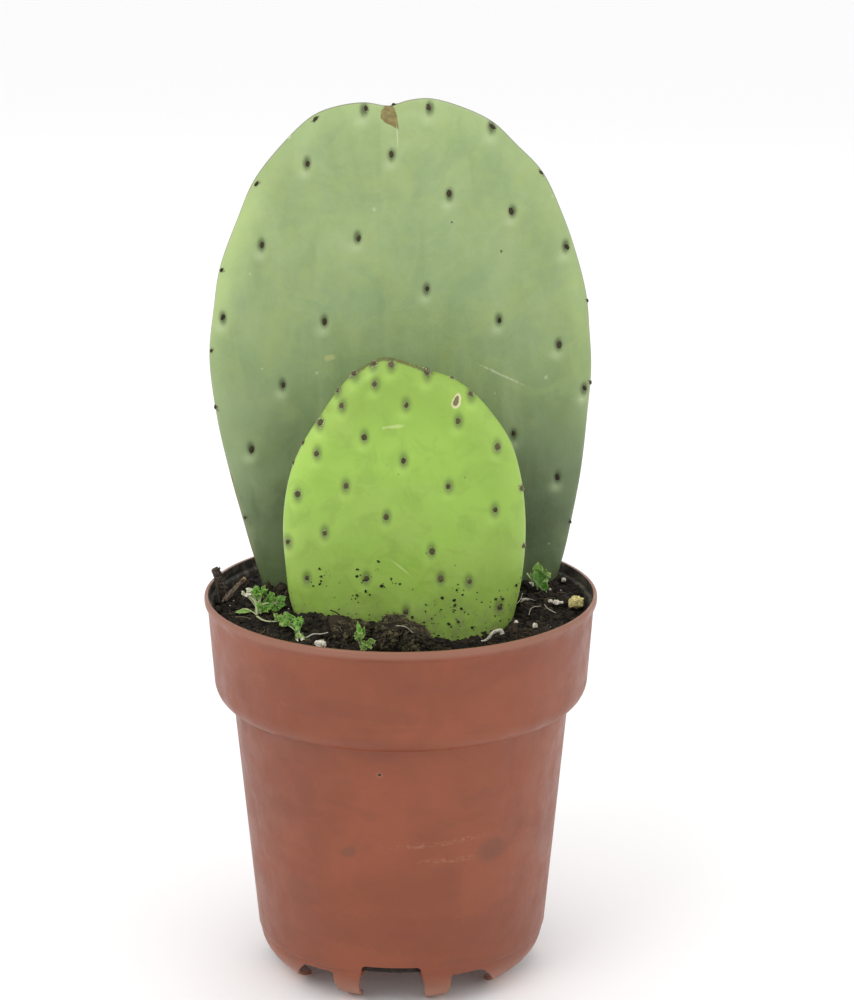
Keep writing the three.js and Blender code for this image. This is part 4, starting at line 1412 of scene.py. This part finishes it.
def frontSkinMaterial():
    material, tree, shader, place = startMaterial("yellowGreenSkin", 0.42, 0.45)
    shader.inputs["Subsurface Weight"].default_value = 0.12
    shader.inputs["Subsurface Radius"].default_value = (0.3, 1.0, 0.1)
    shader.inputs["Subsurface Scale"].default_value = 0.002
    height = place["Height"]
    base = driftColour(tree, place, rgb(0.320, 0.525, 0.075), rgb(0.270, 0.450, 0.060), 22.0, 0.5, 0.2)
    warm = remap(tree, noiseAt(tree, place, 0.045, 3.0), 0.45, 0.65)
    base = tint(tree, base, warm, 0.35, rgb(0.375, 0.520, 0.110))
    toMargin = attributeOf(tree, "toMargin")
    pale = remap(tree, toMargin, 0.8, 9.0, 1.0, 0.0)
    base = tint(tree, base, pale, 0.40, rgb(0.420, 0.640, 0.115))
    low = remap(tree, plus(tree, height, times(tree, noiseAt(tree, place, 0.15, 3.0), 14.0)),
                112.0, 136.0, 1.0, 0.0)
    base = tint(tree, base, low, 0.35, rgb(0.410, 0.600, 0.150))
    high = remap(tree, height, 166.0, 192.0)
    base = tint(tree, base, high, 0.46, rgb(0.180, 0.275, 0.040))
    cloudy = remap(tree, noiseAt(tree, place, 0.13, 4.0, 0.6, 0.6), 0.47, 0.66)
    base = tint(tree, base, cloudy, 0.30, rgb(0.200, 0.315, 0.045))
    rightSide = remap(tree, place["Across"], 16.0, 34.0)
    base = tint(tree, base, rightSide, 0.28, rgb(0.205, 0.320, 0.050))
    # painted highlight under each areole, then painted shade round its pit
    moundHighlight = attributeOf(tree, "moundHighlight")
    base = tint(tree, base, moundHighlight, 0.35, rgb(0.46, 0.68, 0.14))
    pitShade = attributeOf(tree, "pitShade")
    base = tint(tree, base, remap(tree, pitShade, 0.12, 0.95), 0.72, rgb(0.110, 0.165, 0.035))
    topCork = times(tree, remap(tree, toMargin, 0.35, 0.9, 1.0, 0.0),
                    times(tree, remap(tree, height, 188.0, 190.0),
                          remap(tree, place["Across"], 8.0, 11.0, 1.0, 0.0)))
    topCork = times(tree, topCork, remap(tree, noiseAt(tree, place, 0.8, 3.0), 0.30, 0.48))
    base = tint(tree, base, topCork, 0.8, rgb(0.110, 0.085, 0.040))
    # an open scar with a pale outline, a small nick, a scratch
    scarOut = patchOn(tree, place, 16.6, 182.8, 1.3, 2.3, -0.35, -0.3, 0.5, 0.12)
    scarIn = patchOn(tree, place, 16.5, 182.9, 0.75, 1.55, -0.35, -0.3, 0.5, 0.15)
    front = frontPad["planeY"]
    base = blendColour(tree, onFront(tree, place, scarOut, front), base, rgb(0.62, 0.58, 0.34))
    base = blendColour(tree, onFront(tree, place, scarIn, front), base, rgb(0.16, 0.15, 0.06))
    scratch = markOn(tree, place, front, 0.0, 131.8, 3.6, 0.28, -0.72, 0.0, 0.9, 0.4)
    nicks = markOn(tree, place, front, -2.0, 175.3, 3.2, 0.5, 0.1, 0.0, 2.4, 0.3)
    base = tint(tree, base, most(tree, scratch, nicks), 0.55, rgb(0.56, 0.66, 0.26))
    # dust and stuck crumbs near the soil
    dust = remap(tree, noiseAt(tree, place, 0.35, 5.0, 0.7), 0.40, 0.62)
    dusty = times(tree, dust, remap(tree, height, 112.0, 128.0, 1.0, 0.0))
    base = tint(tree, base, dusty, 0.5, rgb(0.245, 0.275, 0.115))
    crumbs = specksOn(tree, place, 2.6, 0.20, 0.20)
    fine = specksOn(tree, place, 1.3, 0.22, 0.16)
    crumbs = most(tree, crumbs, fine)
    clustered = remap(tree, noiseAt(tree, place, 0.10, 3.0), 0.44, 0.56)
    nearSoil = times(tree, remap(tree, height, 115.0, 136.0, 1.0, 0.0), clustered)
    base = blendColour(tree, maths(tree, "GREATER_THAN", times(tree, crumbs, nearSoil), 0.25), base,
                       rgb(0.040, 0.045, 0.014))
    dots = specksOn(tree, place, 8.0, 0.04, 0.5)
    base = tint(tree, base, dots, 0.6, rgb(0.10, 0.14, 0.03))
    tree.links.new(base, shader.inputs["Base Color"])
    gloss = remap(tree, noiseAt(tree, place, 0.12, 4.0, 0.6), 0.3, 0.7, 0.34, 0.50)
    tree.links.new(gloss, shader.inputs["Roughness"])
    skin = plus(tree, times(tree, noiseAt(tree, place, 1.9, 4.0, 0.6), 0.3),
                times(tree, noiseAt(tree, place, 0.3, 2.0), 0.8))
    skin = minus(tree, skin, times(tree, scarIn, 0.8))
    addBump(tree, shader, skin, 0.25, 0.0008)
    return material


rearRoots = [(-16, -27, 6, 62), (-5, -9, -12, 50), (5, 11, 8, 44), (16, 28, -8, 60)]
frontRoots = [(-12, -22, -6, 72), (0, -3, -12, 60), (12, 23, -4, 70)]
rearSkin = makePad(rearPad, rearSkinMaterial(), rearRoots, "rear_pad_skin", "rear_pad")
frontSkin = makePad(frontPad, frontSkinMaterial(), frontRoots, "front_pad_skin", "front_pad")
rearWool = shadeMaterial("darkWool", rgb(0.014, 0.012, 0.006), rgb(0.060, 0.048, 0.024), 0.95, 0.9)
rearSpine = shadeMaterial("rearGlochid", rgb(0.030, 0.024, 0.010), rgb(0.66, 0.60, 0.36), 0.6, 0.3, 1.9)
frontWool = shadeMaterial("brownWool", rgb(0.045, 0.040, 0.016), rgb(0.130, 0.110, 0.055), 0.95, 0.9)
frontSpine = shadeMaterial("frontGlochid", rgb(0.070, 0.055, 0.025), rgb(0.80, 0.74, 0.55), 0.6, 0.3, 1.7)
growAreoles(rearPad, rearSkin, "rear_pad_areoles", "rear_pad_skin", rearWool, rearSpine)
growAreoles(frontPad, frontSkin, "front_pad_areoles", "front_pad_skin", frontWool, frontSpine)
print("pads and areoles made")


# crumbs, grains and fibres on the soil

crumbDark = shadeMaterial("peatCrumb", rgb(0.0036, 0.0029, 0.0020), rgb(0.046, 0.033, 0.018), 0.9, 0.8, 1.7)
clodDark = shadeMaterial("clodCrumb", rgb(0.0095, 0.0080, 0.0046), rgb(0.115, 0.096, 0.046), 0.9, 0.8, 1.6)
fibreBrown = shadeMaterial("brownFibre", rgb(0.028, 0.019, 0.012), rgb(0.30, 0.22, 0.13), 0.75, 0.3, 2.4)
grainPale = shadeMaterial("perliteGrain", rgb(0.30, 0.26, 0.20), rgb(0.82, 0.79, 0.70), 0.8, 0.6)

litter = {
    "soil_crumbs": (strewnCrumbs, "peat", 56.0, {
        "Density": 5.8e5, "Smallest": 0.0008, "Largest": 0.0030, "Facets": 1, "Lumpiness": 0.0006,
        "Lump scale": 1300.0, "Sink": -0.0001, "Seed": 3, "Material": crumbDark}),
    "soil_lumps": (strewnCrumbs, "peat", 53.2, {
        "Density": 6.0e4, "Smallest": 0.0020, "Largest": 0.0052, "Facets": 2, "Lumpiness": 0.0022,
        "Lump scale": 800.0, "Sink": 0.0002, "Seed": 8, "Material": crumbDark}),
    "soil_fibres": (strewnFibres, "peat", 52.6, {
        "Density": 1.2e5, "Shortest": 0.0014, "Longest": 0.0055, "Radius": 0.022, "Tilt": 0.55,
        "Lift": 0.0007, "Seed": 5, "Material": fibreBrown}),
    "soil_grains": (strewnCrumbs, "perlite", 55.0, {
        "Density": 7.0e3, "Smallest": 0.0004, "Largest": 0.0014, "Facets": 2, "Lumpiness": 0.0003,
        "Lump scale": 1500.0, "Sink": -0.0005, "Seed": 12, "Material": grainPale}),
}

clodLitter = {
    "crumbs": (strewnCrumbs, {
        "Density": 1.5e6, "Smallest": 0.0006, "Largest": 0.0022, "Facets": 1, "Lumpiness": 0.0006,
        "Lump scale": 1300.0, "Sink": 0.0, "Seed": 31, "Material": clodDark}),
    "fibres": (strewnFibres, {
        "Density": 4.5e5, "Shortest": 0.0010, "Longest": 0.0042, "Radius": 0.025, "Tilt": 0.9,
        "Lift": 0.0002, "Seed": 33, "Material": fibreBrown}),
}


def coversSoil(pad, x, y):
    halfWidth, halfDepth = pad["soilCover"]
    return abs(x) < halfWidth and abs(y - pad["planeY"]) < halfDepth


def openSoil(reach):
    # the soil's top out to a radius, without what the pads cover
    verts, faces = soilGrid(False)
    kept = []
    for face in faces[:-1]:
        x, y = verts[face[0]][:2]
        covered = coversSoil(rearPad, x, y) or coversSoil(frontPad, x, y)
        if math.hypot(x, y) < reach and not covered:
            kept.append(face)
    return meshPiece("openSoil", verts, kept, [])


for name, (tree, slot, reach, values) in litter.items():
    keep(growFrom(name, openSoil(reach), tree, values), slot)


def splashedSkin(skin):
    # patches low on the front pad where soil has splashed
    kept = []
    for face in skin.data.polygons:
        x, y, z = (v / mm for v in face.center)
        cluster = noise.noise(Vector((x * 0.09, z * 0.11, 4.4)))
        if y < frontPad["planeY"] - 2 and 108 < z < 137 and cluster > (z - 122) * 0.028 - 0.05:
            kept.append(tuple(face.vertices))
    places = [tuple(v / mm for v in vertex.co) for vertex in skin.data.vertices]
    return meshPiece("splashedSkin", places, kept, [])


splash = {
    "Density": 1.5e5, "Smallest": 0.0003, "Largest": 0.0014, "Facets": 1, "Lumpiness": 0.0003,
    "Lump scale": 1600.0, "Sink": 0.0, "Seed": 17, "Material": crumbDark,
}
keep(growFrom("front_pad_specks", splashedSkin(frontSkin), strewnCrumbs, splash), "peat")
print("crumbs and fibres strewn")


# lumps: clods, stones, grains

def lumpMesh(name, centre, half, material, level, boxy, coarse, fine, seed, lean=0.0):
    # a boxy ball with a coarse and a fine noise; lean lowers its right side
    ball = bpy.data.meshes.new("ball")
    work = bmesh.new()
    bmesh.ops.create_icosphere(work, subdivisions=level, radius=1.0)
    work.to_mesh(ball)
    work.free()
    faces = [tuple(face.vertices) for face in ball.polygons]
    points = []
    for vertex in ball.vertices:
        d = vertex.co.normalized()
        reach = (abs(d.x) ** boxy + abs(d.y) ** boxy + abs(d.z) ** boxy) ** (-1 / boxy)
        p = Vector((d.x * reach * half[0], d.y * reach * half[1], d.z * reach * half[2]))
        if p.x > 0 and p.z > 0:
            p.z *= 1 - lean * p.x / half[0]
        size = min(half)
        swell = noise.fractal(p * (1.3 / size) + Vector((seed, 0, 0)), 0.9, 2.1, 3) * coarse * size
        crag = noise.fractal(p * (4.2 / size) + Vector((0, seed, 0)), 0.8, 2.2, 3) * fine * size
        points.append(p + d * (swell + crag) + Vector(centre))
    bpy.data.meshes.remove(ball)
    return meshPiece(name, points, faces, [material])


clods = {
    "soil_clod": {"centre": (0.4, -28.4, 114.3), "half": (7.3, 6.2, 5.4), "lean": 0.75, "seed": 2.0},
    "soil_clod_low": {"centre": (-15, -25, 113.2), "half": (5.4, 5.4, 3.9), "lean": -0.1, "seed": 6.0},
}

for node, clod in clods.items():
    body = lumpMesh(node + "_body", clod["centre"], clod["half"], peat, 5, 3.4, 0.34, 0.16, clod["seed"],
                    clod["lean"])
    keep(body, "peat", node)
    for label, (tree, values) in clodLitter.items():
        keep(growFrom(node + "_" + label, body, tree, values, False), "peat")


def stoneMaterial(name, pale, dark, veins):
    material, tree, shader, place = startMaterial(name, 0.85, 0.3)
    drift = driftColour(tree, place, pale, dark, 1.1, 0.55, 0.12)
    cracks = addNode(tree, "ShaderNodeTexVoronoi", {"Vector": place["Place"], "Scale": 1.5},
                     feature="DISTANCE_TO_EDGE").outputs["Distance"]
    line = remap(tree, cracks, 0.02, 0.16, 1.0, 0.0)
    tree.links.new(tint(tree, drift, line, veins, dark), shader.inputs["Base Color"])
    addBump(tree, shader, noiseAt(tree, place, 3.0, 4.0, 0.65), 0.6, 0.0004)
    return material


yellowStone = stoneMaterial("yellowMineral", rgb(0.80, 0.72, 0.33), rgb(0.42, 0.34, 0.11), 0.5)
creamStone = stoneMaterial("creamPerlite", rgb(0.86, 0.82, 0.72), rgb(0.50, 0.42, 0.30), 0.3)

stones = {
    # name: node or none, centre, half sizes, material, seed
    "yellow_crumb_stone": ("yellow_crumb", (53.3, -5.2, 117.6), (2.1, 1.8, 1.6), yellowStone, 4.0),
    "yellow_crumb_chip": (None, (51.9, -5.9, 117.0), (0.9, 0.8, 0.8), yellowStone, 9.0),
    "grit_1_stone": ("grit_1", (51, 20, 117.0), (0.7, 0.6, 0.6), creamStone, 1.0),
    "grit_2_stone": ("grit_2", (40.4, 10.2, 118.4), (0.75, 0.7, 0.95), creamStone, 2.0),
    "grit_3_stone": ("grit_3", (38, -0.8, 117.2), (1.2, 0.4, 0.35), creamStone, 3.0),
    "grit_4_stone": ("grit_4", (47.4, -3.4, 117.0), (1.0, 0.8, 0.7), creamStone, 5.0),
    "grit_4_chip_a": (None, (45.6, -3.0, 117.3), (0.7, 0.5, 0.5), creamStone, 15.0),
    "grit_4_chip_b": (None, (48.9, -3.9, 117.1), (0.6, 0.5, 0.4), creamStone, 25.0),
    "grit_5_stone": ("grit_5", (40.3, -17.6, 114.2), (0.75, 0.7, 0.75), creamStone, 6.0),
    "grit_6_stone": ("grit_6", (-23.8, -33.8, 114.0), (1.5, 1.2, 1.1), creamStone, 7.0),
    "grit_7_stone": (None, (34.8, -12.4, 113.6), (0.6, 0.5, 0.5), creamStone, 8.0),
    "grit_8_stone": (None, (-19.3, -29.5, 114.9), (0.5, 0.4, 0.4), creamStone, 11.0),
}

for name, (node, centre, half, material, seed) in stones.items():
    stone = lumpMesh(name, centre, half, material, 4, 2.4, 0.42, 0.22, seed)
    slot = "yellow_mineral" if material is yellowStone else "perlite"
    keep(stone, slot, *([node] if node else []))
print("clods and stones made")


# bark, twig and single fibres

def woodMaterial(name, dark, light, tip, tipFrom, tipTo):
    # stripes run along the strand, whose length is in the along attribute
    material, tree, shader, place = startMaterial(name, 0.85, 0.25)
    around = attributeOf(tree, "around")
    along = attributeOf(tree, "along")
    grainPlace = made(tree, "ShaderNodeCombineXYZ", {0: times(tree, around, 3.0),
                                                     1: times(tree, along, 1.2)})
    stripe = remap(tree, noiseOf(tree, grainPlace, 2.2, 4.0, 0.6), 0.40, 0.60)
    base = blendColour(tree, stripe, dark, light)
    base = blendColour(tree, remap(tree, along, tipFrom, tipTo), base, tip)
    mottle = driftMask(tree, place, 0.8, 0.52, 0.15)
    base = tint(tree, base, mottle, 0.4, dark)
    tree.links.new(base, shader.inputs["Base Color"])
    addBump(tree, shader, plus(tree, stripe, mottle), 0.6, 0.0004)
    return material


def strand(name, path, radius, material, sides=12, steps=10, squash=1.0, rough=0.0, tipShare=0.6, seed=0.0):
    # a strand along a smooth path, knobbly when rough is over 0, thinner at its end by tipShare
    line = smoothPath(path, steps)
    count = len(line)
    radii = [radius * (1 - (1 - tipShare) * (i / (count - 1)) ** 2) for i in range(count)]
    points, faces = tube(line, radii, sides)
    around, along = [], []
    shaped = []
    for i, p in enumerate(points):
        ring, turn = divmod(i, sides)
        angle = 2 * math.pi * turn / sides
        away = p - line[ring]
        away.y *= squash
        knob = noise.fractal(Vector((math.cos(angle) * 1.3 + seed, math.sin(angle) * 1.3, ring * 0.45)),
                             0.8, 2.1, 3)
        ragged = noise.noise(Vector((math.cos(angle) * 2.2, math.sin(angle) * 2.2, seed)))
        torn = ragged * rough * radius * 1.6 if ring == count - 1 else 0.0
        shaped.append(line[ring] + away * (1 + rough * knob) + Vector((0, 0, torn)))
        around.append(math.sin(angle) + seed)
        along.append(ring / (count - 1))
    piece = meshPiece(name, shaped, faces, [material])
    addMask(piece, "around", around)
    addMask(piece, "along", along)
    return piece


barkWood = woodMaterial("barkWood", rgb(0.030, 0.022, 0.017), rgb(0.16, 0.125, 0.10),
                        rgb(0.12, 0.085, 0.06), 0.9, 1.0)
twigWood = woodMaterial("twigWood", rgb(0.055, 0.036, 0.024), rgb(0.40, 0.30, 0.22), rgb(0.50, 0.30, 0.16),
                        0.86, 0.97)
fibrePale = woodMaterial("paleFibre", rgb(0.55, 0.48, 0.36), rgb(0.84, 0.80, 0.70), rgb(0.86, 0.83, 0.75),
                         0.8, 1.0)
fibreDark = woodMaterial("darkRootlet", rgb(0.020, 0.016, 0.008), rgb(0.08, 0.07, 0.03),
                         rgb(0.05, 0.04, 0.02), 0.8, 1.0)

keep(strand("bark_stub_wood",
            [(-53.6, 9, 111.6), (-55, 9, 117.4), (-56.1, 9.2, 120.8), (-57.2, 9.4, 124.2)],
            1.45, barkWood, 20, 16, 0.8, 0.42, 0.95, 3.0), "bark", "bark_stub")
keep(strand("bark_strip",
            [(-55.9, 4.4, 114.6), (-56.4, 5.0, 118.0), (-56.7, 5.8, 121.0)],
            0.55, barkWood, 12, 12, 0.7, 0.4, 0.6, 7.0), "bark")
keep(strand("twig_wood",
            [(-54.2, 3.6, 115.7), (-51.6, 7, 117.9), (-48.3, 11.4, 120.3)],
            0.85, twigWood, 14, 16, 0.8, 0.30, 0.8, 1.0), "twig_wood", "twig")
keep(strand("twig_splinter",
            [(-54.9, 3.2, 115.3), (-52.3, 6.0, 117.9), (-49.6, 9.2, 119.8)],
            0.42, twigWood, 10, 14, 0.8, 0.35, 0.4, 5.0), "twig_wood")
keep(strand("pale_fibre_strand",
            [(-28, -30.6, 114.9), (-26, -29.4, 115.6), (-23.8, -29.8, 115.8), (-21.6, -29, 116)],
            0.24, fibrePale, 8, 10, 1.0, 0.2, 0.5), "pale_fibre", "pale_fibre")
keep(strand("curled_fibre_strand",
            [(30.2, -24.4, 113.8), (29.8, -24.3, 114.7), (28.6, -24.6, 114.9), (27.2, -25.0, 114.3),
             (26.3, -25.4, 113.2), (25.2, -25.4, 112.2), (23.9, -25.0, 111.9)],
            0.66, fibrePale, 12, 8, 0.9, 0.35, 0.3), "pale_fibre", "curled_fibre")
looseFibres = [
    [(34.6, -8.6, 119.4), (35.6, -7.6, 120.6), (36.0, -7.0, 122.0)],
    [(35.2, -8.2, 118.2), (36.4, -7.4, 119.4), (36.9, -6.6, 121.0)],
    [(36.5, -3.0, 117.0), (38.6, -2.2, 117.8), (41.0, -2.4, 117.3)],
    [(47.0, -9.0, 115.4), (44.6, -8.2, 116.6), (43.6, -6.4, 117.4)],
    [(38.8, -9.0, 114.8), (39.8, -6.6, 116.3), (42.6, -5.6, 116.6)],
    [(-1.5, -33.6, 119.6), (1.4, -34.4, 119.4), (3.6, -34.6, 117.6)],
]
for index, path in enumerate(looseFibres):
    keep(strand("loose_fibre_" + str(index + 1), path, 0.13, fibrePale, 6, 8, 1.0, 0.2, 0.5, index * 2.0),
         "pale_fibre")
keep(strand("rootlet", [(-21.2, -16.4, 118.9), (-19.4, -16.9, 118.3), (-17.6, -17.2, 116.9),
                        (-15.8, -17.4, 116.0)], 0.22,
            fibreDark, 8, 8, 1.0, 0.3, 0.6), "pale_fibre")
print("bark, twig and fibres made")


# small plants

def leafMaterial(name, dark, light, edge, edgeShare):
    material, tree, shader, place = startMaterial(name, 0.45, 0.4)
    shader.inputs["Subsurface Weight"].default_value = 0.25
    shader.inputs["Subsurface Radius"].default_value = (0.5, 1.0, 0.2)
    shader.inputs["Subsurface Scale"].default_value = 0.0008
    shade = attributeOf(tree, "shade")
    fine = driftMask(tree, place, 0.7, 0.5, 0.2)
    mixed = plus(tree, times(tree, shade, 0.7), times(tree, fine, 0.3))
    base = blendColour(tree, mixed, dark, light)
    rim = remap(tree, attributeOf(tree, "rim"), 0.55, 1.0)
    base = tint(tree, base, rim, edgeShare, edge)
    vein = remap(tree, attributeOf(tree, "rim"), 0.0, 0.14, 1.0, 0.0)
    base = tint(tree, base, vein, 0.3, light)
    tree.links.new(base, shader.inputs["Base Color"])
    addBump(tree, shader, noiseAt(tree, place, 2.6, 3.0), 0.35, 0.0003)
    return material


def leafSheet(base, tip, facing, width, lobes, depth, crumple, cup, draw):
    # points, faces and rim values of one lobed leaf from base to tip, its upper side towards facing
    base, tip = Vector(base), Vector(tip)
    along = tip - base
    side = along.cross(Vector(facing)).normalized()
    up = side.cross(along).normalized()
    length = along.length
    rows, columns = 14, 8
    shift = draw.uniform(0, 40)
    points, faces, rims = [], [], []
    for i in range(rows + 1):
        u = i / rows
        swell = max(0.06, math.sin(math.pi * u ** 0.75) ** 0.75)
        lobe = 1 - depth * (0.5 + 0.5 * math.cos(2 * math.pi * lobes * u + 0.6))
        for j in range(columns + 1):
            v = 2 * j / columns - 1
            spread = width / 2 * swell * (1 - (1 - lobe) * abs(v) ** 2)
            sweep = 0.16 * length * (1 - lobe) * abs(v)
            p = base + along * u + side * spread * v + along.normalized() * (-sweep)
            crease = noise.noise(p * 0.9 + Vector((shift, 0, 0)))
            crease += 0.5 * noise.noise(p * 2.2 + Vector((0, shift, 0)))
            lift = crumple * crease + cup * length * (v * v - 0.4)
            lift -= cup * length * 1.2 * (2 * u - 0.7) ** 2
            p = p + up * lift
            points.append(p)
            rims.append(max(abs(v), 2 * abs(u - 0.5)))
    for i in range(rows):
        for j in range(columns):
            a = i * (columns + 1) + j
            faces.append((a, a + 1, a + columns + 2, a + columns + 1))
    return points, faces, rims


def thicken(piece, thickness):
    # gives a sheet a back and a rim
    modifier = piece.modifiers.new("sheet", "SOLIDIFY")
    modifier.thickness = thickness * mm
    modifier.offset = 0.0
    solid = bpy.data.meshes.new_from_object(piece.evaluated_get(bpy.context.evaluated_depsgraph_get()))
    piece.modifiers.clear()
    piece.data = solid
    return piece


def plant(node, plan, seed):
    # tufts of small leaves round their own middles, each on a thin stalk from the crown, and single leaves
    draw = random.Random(seed)
    points, faces, rims, shades, looks = [], [], [], [], []
    stemPoints, stemFaces = [], []

    def addLeaf(base, tip, facing, width, lobes, depth, crumple, cup, look, shade):
        sheet, sheetFaces, sheetRims = leafSheet(base, tip, facing, width, lobes, depth, crumple, cup, draw)
        start = len(points)
        points.extend(sheet)
        faces.extend([tuple(corner + start for corner in face) for face in sheetFaces])
        rims.extend(sheetRims)
        shades.extend([shade] * len(sheet))
        looks.extend([look] * len(sheetFaces))

    def addStem(path, radius):
        line = smoothPath(path, 5)
        radii = [radius * (1 - 0.4 * i / (len(line) - 1)) for i in range(len(line))]
        tubePoints, tubeFaces = tube(line, radii, 7, len(stemPoints))
        stemPoints.extend(tubePoints)
        stemFaces.extend(tubeFaces)

    crown = Vector(plan["crown"])
    for centre, half, count, size, look in plan["tufts"]:
        hub = Vector(centre)
        middle = (crown + hub) / 2 + Vector((0, 0, 0.5))
        addStem([crown, middle, hub], 0.24)
        for i in range(count):
            where = Vector([draw.uniform(-1, 1) * h for h in half])
            if where.length < 0.01:
                continue
            outward = Vector((where.x / half[0], where.y / half[1] - 0.3, where.z / half[2] + 0.35))
            outward += Vector([draw.uniform(-0.5, 0.5) for axis in range(3)])
            outward.normalize()
            start = hub + where * 0.75 - outward * size * 0.3
            facing = Vector((draw.uniform(-0.7, 0.7), -1.0 + draw.uniform(-0.3, 0.5),
                             draw.uniform(0.2, 1.3)))
            reach = size * draw.uniform(0.75, 1.25)
            addLeaf(start, start + outward * reach, facing, reach * draw.uniform(0.7, 0.95),
                    draw.choice((2, 3)),
                    0.5, 0.22 * size, 0.10, look, draw.random())
            addStem([hub, (hub + start) / 2 + Vector((0, -0.1, 0.1)), start + outward * 0.2], 0.12)
    for base, tip, facing, width, lobes, depth, look in plan["leaves"]:
        addLeaf(base, tip, facing, width, lobes, depth, 0.45, 0.06, look, draw.random())
    for path, radius in plan["stems"]:
        addStem(path, radius)
    leaves = meshPiece(node + "_leaves", points, faces, [greenLeaf, limeLeaf, creamLeaf], looks)
    addMask(leaves, "rim", rims)
    addMask(leaves, "shade", shades)
    keep(thicken(leaves, 0.14), "weed_leaf", node)
    keep(meshPiece(node + "_stems", stemPoints, stemFaces, [stemPale]), "weed_leaf")


greenLeaf = leafMaterial("greenLeaf", rgb(0.045, 0.170, 0.016), rgb(0.250, 0.520, 0.075),
                         rgb(0.42, 0.62, 0.16), 0.4)
limeLeaf = leafMaterial("limeLeaf", rgb(0.110, 0.270, 0.030), rgb(0.340, 0.540, 0.110),
                        rgb(0.55, 0.66, 0.28), 0.5)
creamLeaf = leafMaterial("creamLeaf", rgb(0.46, 0.52, 0.22), rgb(0.80, 0.80, 0.58), rgb(0.86, 0.86, 0.72),
                         0.5)
stemPale = shadeMaterial("paleStem", rgb(0.50, 0.56, 0.30), rgb(0.62, 0.64, 0.40), 0.55, 0.3)

plants = {
    "leafy_weed": {
        "crown": (-42.6, -9.4, 115.6),
        # middle, half spread, leaves, leaf length, look
        "tufts": [
            ((-42.6, -7.2, 121.4), (2.6, 1.8, 1.3), 12, 2.6, 0),
            ((-38.4, -7.4, 118.2), (2.6, 2.0, 2.2), 17, 2.9, 0),
            ((-41.6, -9.6, 116.9), (2.0, 1.6, 1.2), 9, 2.6, 0),
            ((-44.6, -7.6, 121.0), (1.4, 0.9, 0.9), 5, 2.0, 1),
            ((-47.2, -7.4, 121.3), (0.9, 0.5, 0.6), 4, 1.8, 2),
            ((-45.8, -7.2, 122.5), (0.7, 0.5, 0.4), 3, 1.5, 2),
        ],
        "leaves": [
            ((-45.4, -9.2, 116.4), (-50.6, -7.6, 115.9), (0, -0.6, 1), 1.9, 1, 0.1, 1),
        ],
        "stems": [
            ([(-43.6, -10.4, 115.3), (-43.9, -9.0, 118.6), (-45.2, -8.2, 120.2), (-46.8, -7.6, 121.0)],
             0.42),
            ([(-43.7, -8.8, 118.2), (-42.8, -8.4, 119.6), (-42.2, -8.0, 121.0)], 0.38),
            ([(-43.8, -9.0, 117.9), (-41.6, -9.0, 118.6), (-40.0, -8.6, 118.8)], 0.34),
            ([(-43.0, -12.2, 115.6), (-44.4, -10.6, 116.2), (-45.8, -9.2, 116.6), (-48.0, -8.4, 117.0)],
             0.20),
        ],
    },
    "creeping_weed": {
        "crown": (-35.6, -21.6, 116.9),
        "tufts": [
            ((-35.4, -22.8, 117.6), (2.0, 1.4, 1.1), 9, 2.5, 1),
            ((-32.0, -23.4, 118.4), (2.4, 1.6, 1.2), 12, 2.7, 0),
            ((-30.2, -27.6, 117.2), (1.2, 1.2, 1.4), 7, 2.3, 0),
            ((-29.6, -30.0, 115.4), (1.0, 0.9, 1.0), 6, 2.0, 1),
        ],
        "leaves": [
            ((-29.4, -30.6, 115.0), (-28.9, -31.4, 113.9), (0, -1, 0.3), 1.0, 1, 0.1, 2),
            ((-30.9, -30.8, 114.8), (-30.4, -31.8, 114.2), (0, -1, 0.3), 0.7, 1, 0.1, 2),
        ],
        "stems": [
            ([(-43.4, -13.0, 115.9), (-41.4, -16.2, 115.7), (-38.8, -18.8, 116.1), (-36.0, -21.0, 117.0)],
             0.34),
            ([(-31.6, -24.6, 118.0), (-30.6, -28.0, 117.2), (-29.5, -31.0, 114.9)], 0.30),
        ],
    },
    "seedling": {
        "crown": (-11.5, -35.0, 112.2),
        "tufts": [
            ((-12.8, -35.8, 116.0), (0.9, 0.5, 0.7), 5, 2.5, 1),
            ((-9.8, -35.8, 114.9), (1.0, 0.6, 0.9), 7, 2.5, 1),
            ((-11.0, -36.2, 113.2), (0.8, 0.4, 0.6), 4, 1.9, 1),
        ],
        "leaves": [
            ((-12.0, -35.4, 116.6), (-12.6, -35.6, 121.4), (0.3, -1, 0.1), 1.7, 1, 0.1, 0),
            ((-11.6, -35.2, 115.8), (-10.8, -35.0, 119.6), (-0.3, -1, 0.1), 1.5, 1, 0.1, 0),
        ],
        "stems": [([(-11.5, -35.0, 111.6), (-11.6, -35.2, 114.0), (-12.0, -35.4, 116.8)], 0.30)],
    },
    "lobed_weed": {
        "crown": (42.0, 6.9, 118.6),
        "tufts": [
            ((44.6, 6.0, 123.4), (0.8, 0.4, 0.8), 3, 1.7, 1),
            ((45.2, 5.8, 121.2), (0.6, 0.4, 0.6), 2, 1.5, 1),
        ],
        "leaves": [
            ((41.6, 6.6, 124.4), (45.0, 5.4, 117.6), (-0.1, -1, 0.35), 4.9, 4, 0.22, 0),
            ((42.6, 7.2, 121.6), (42.0, 6.6, 126.6), (-0.4, -1, 0.2), 4.2, 2, 0.2, 1),
            ((41.8, 6.9, 120.4), (39.9, 6.2, 123.2), (-0.4, -1, 0.2), 2.3, 1, 0.1, 1),
        ],
        "stems": [
            ([(38.8, 6.8, 123.2), (40.0, 6.7, 121.6), (41.6, 6.6, 120.0), (42.4, 7.2, 117.0)], 0.34),
            ([(42.2, 7.1, 118.0), (42.4, 7.0, 121.4), (41.9, 6.8, 124.0)], 0.26),
        ],
    },
}

firstSeed = 60
for seed, (node, plan) in enumerate(plants.items()):
    plant(node, plan, firstSeed + seed)
print("small plants made")
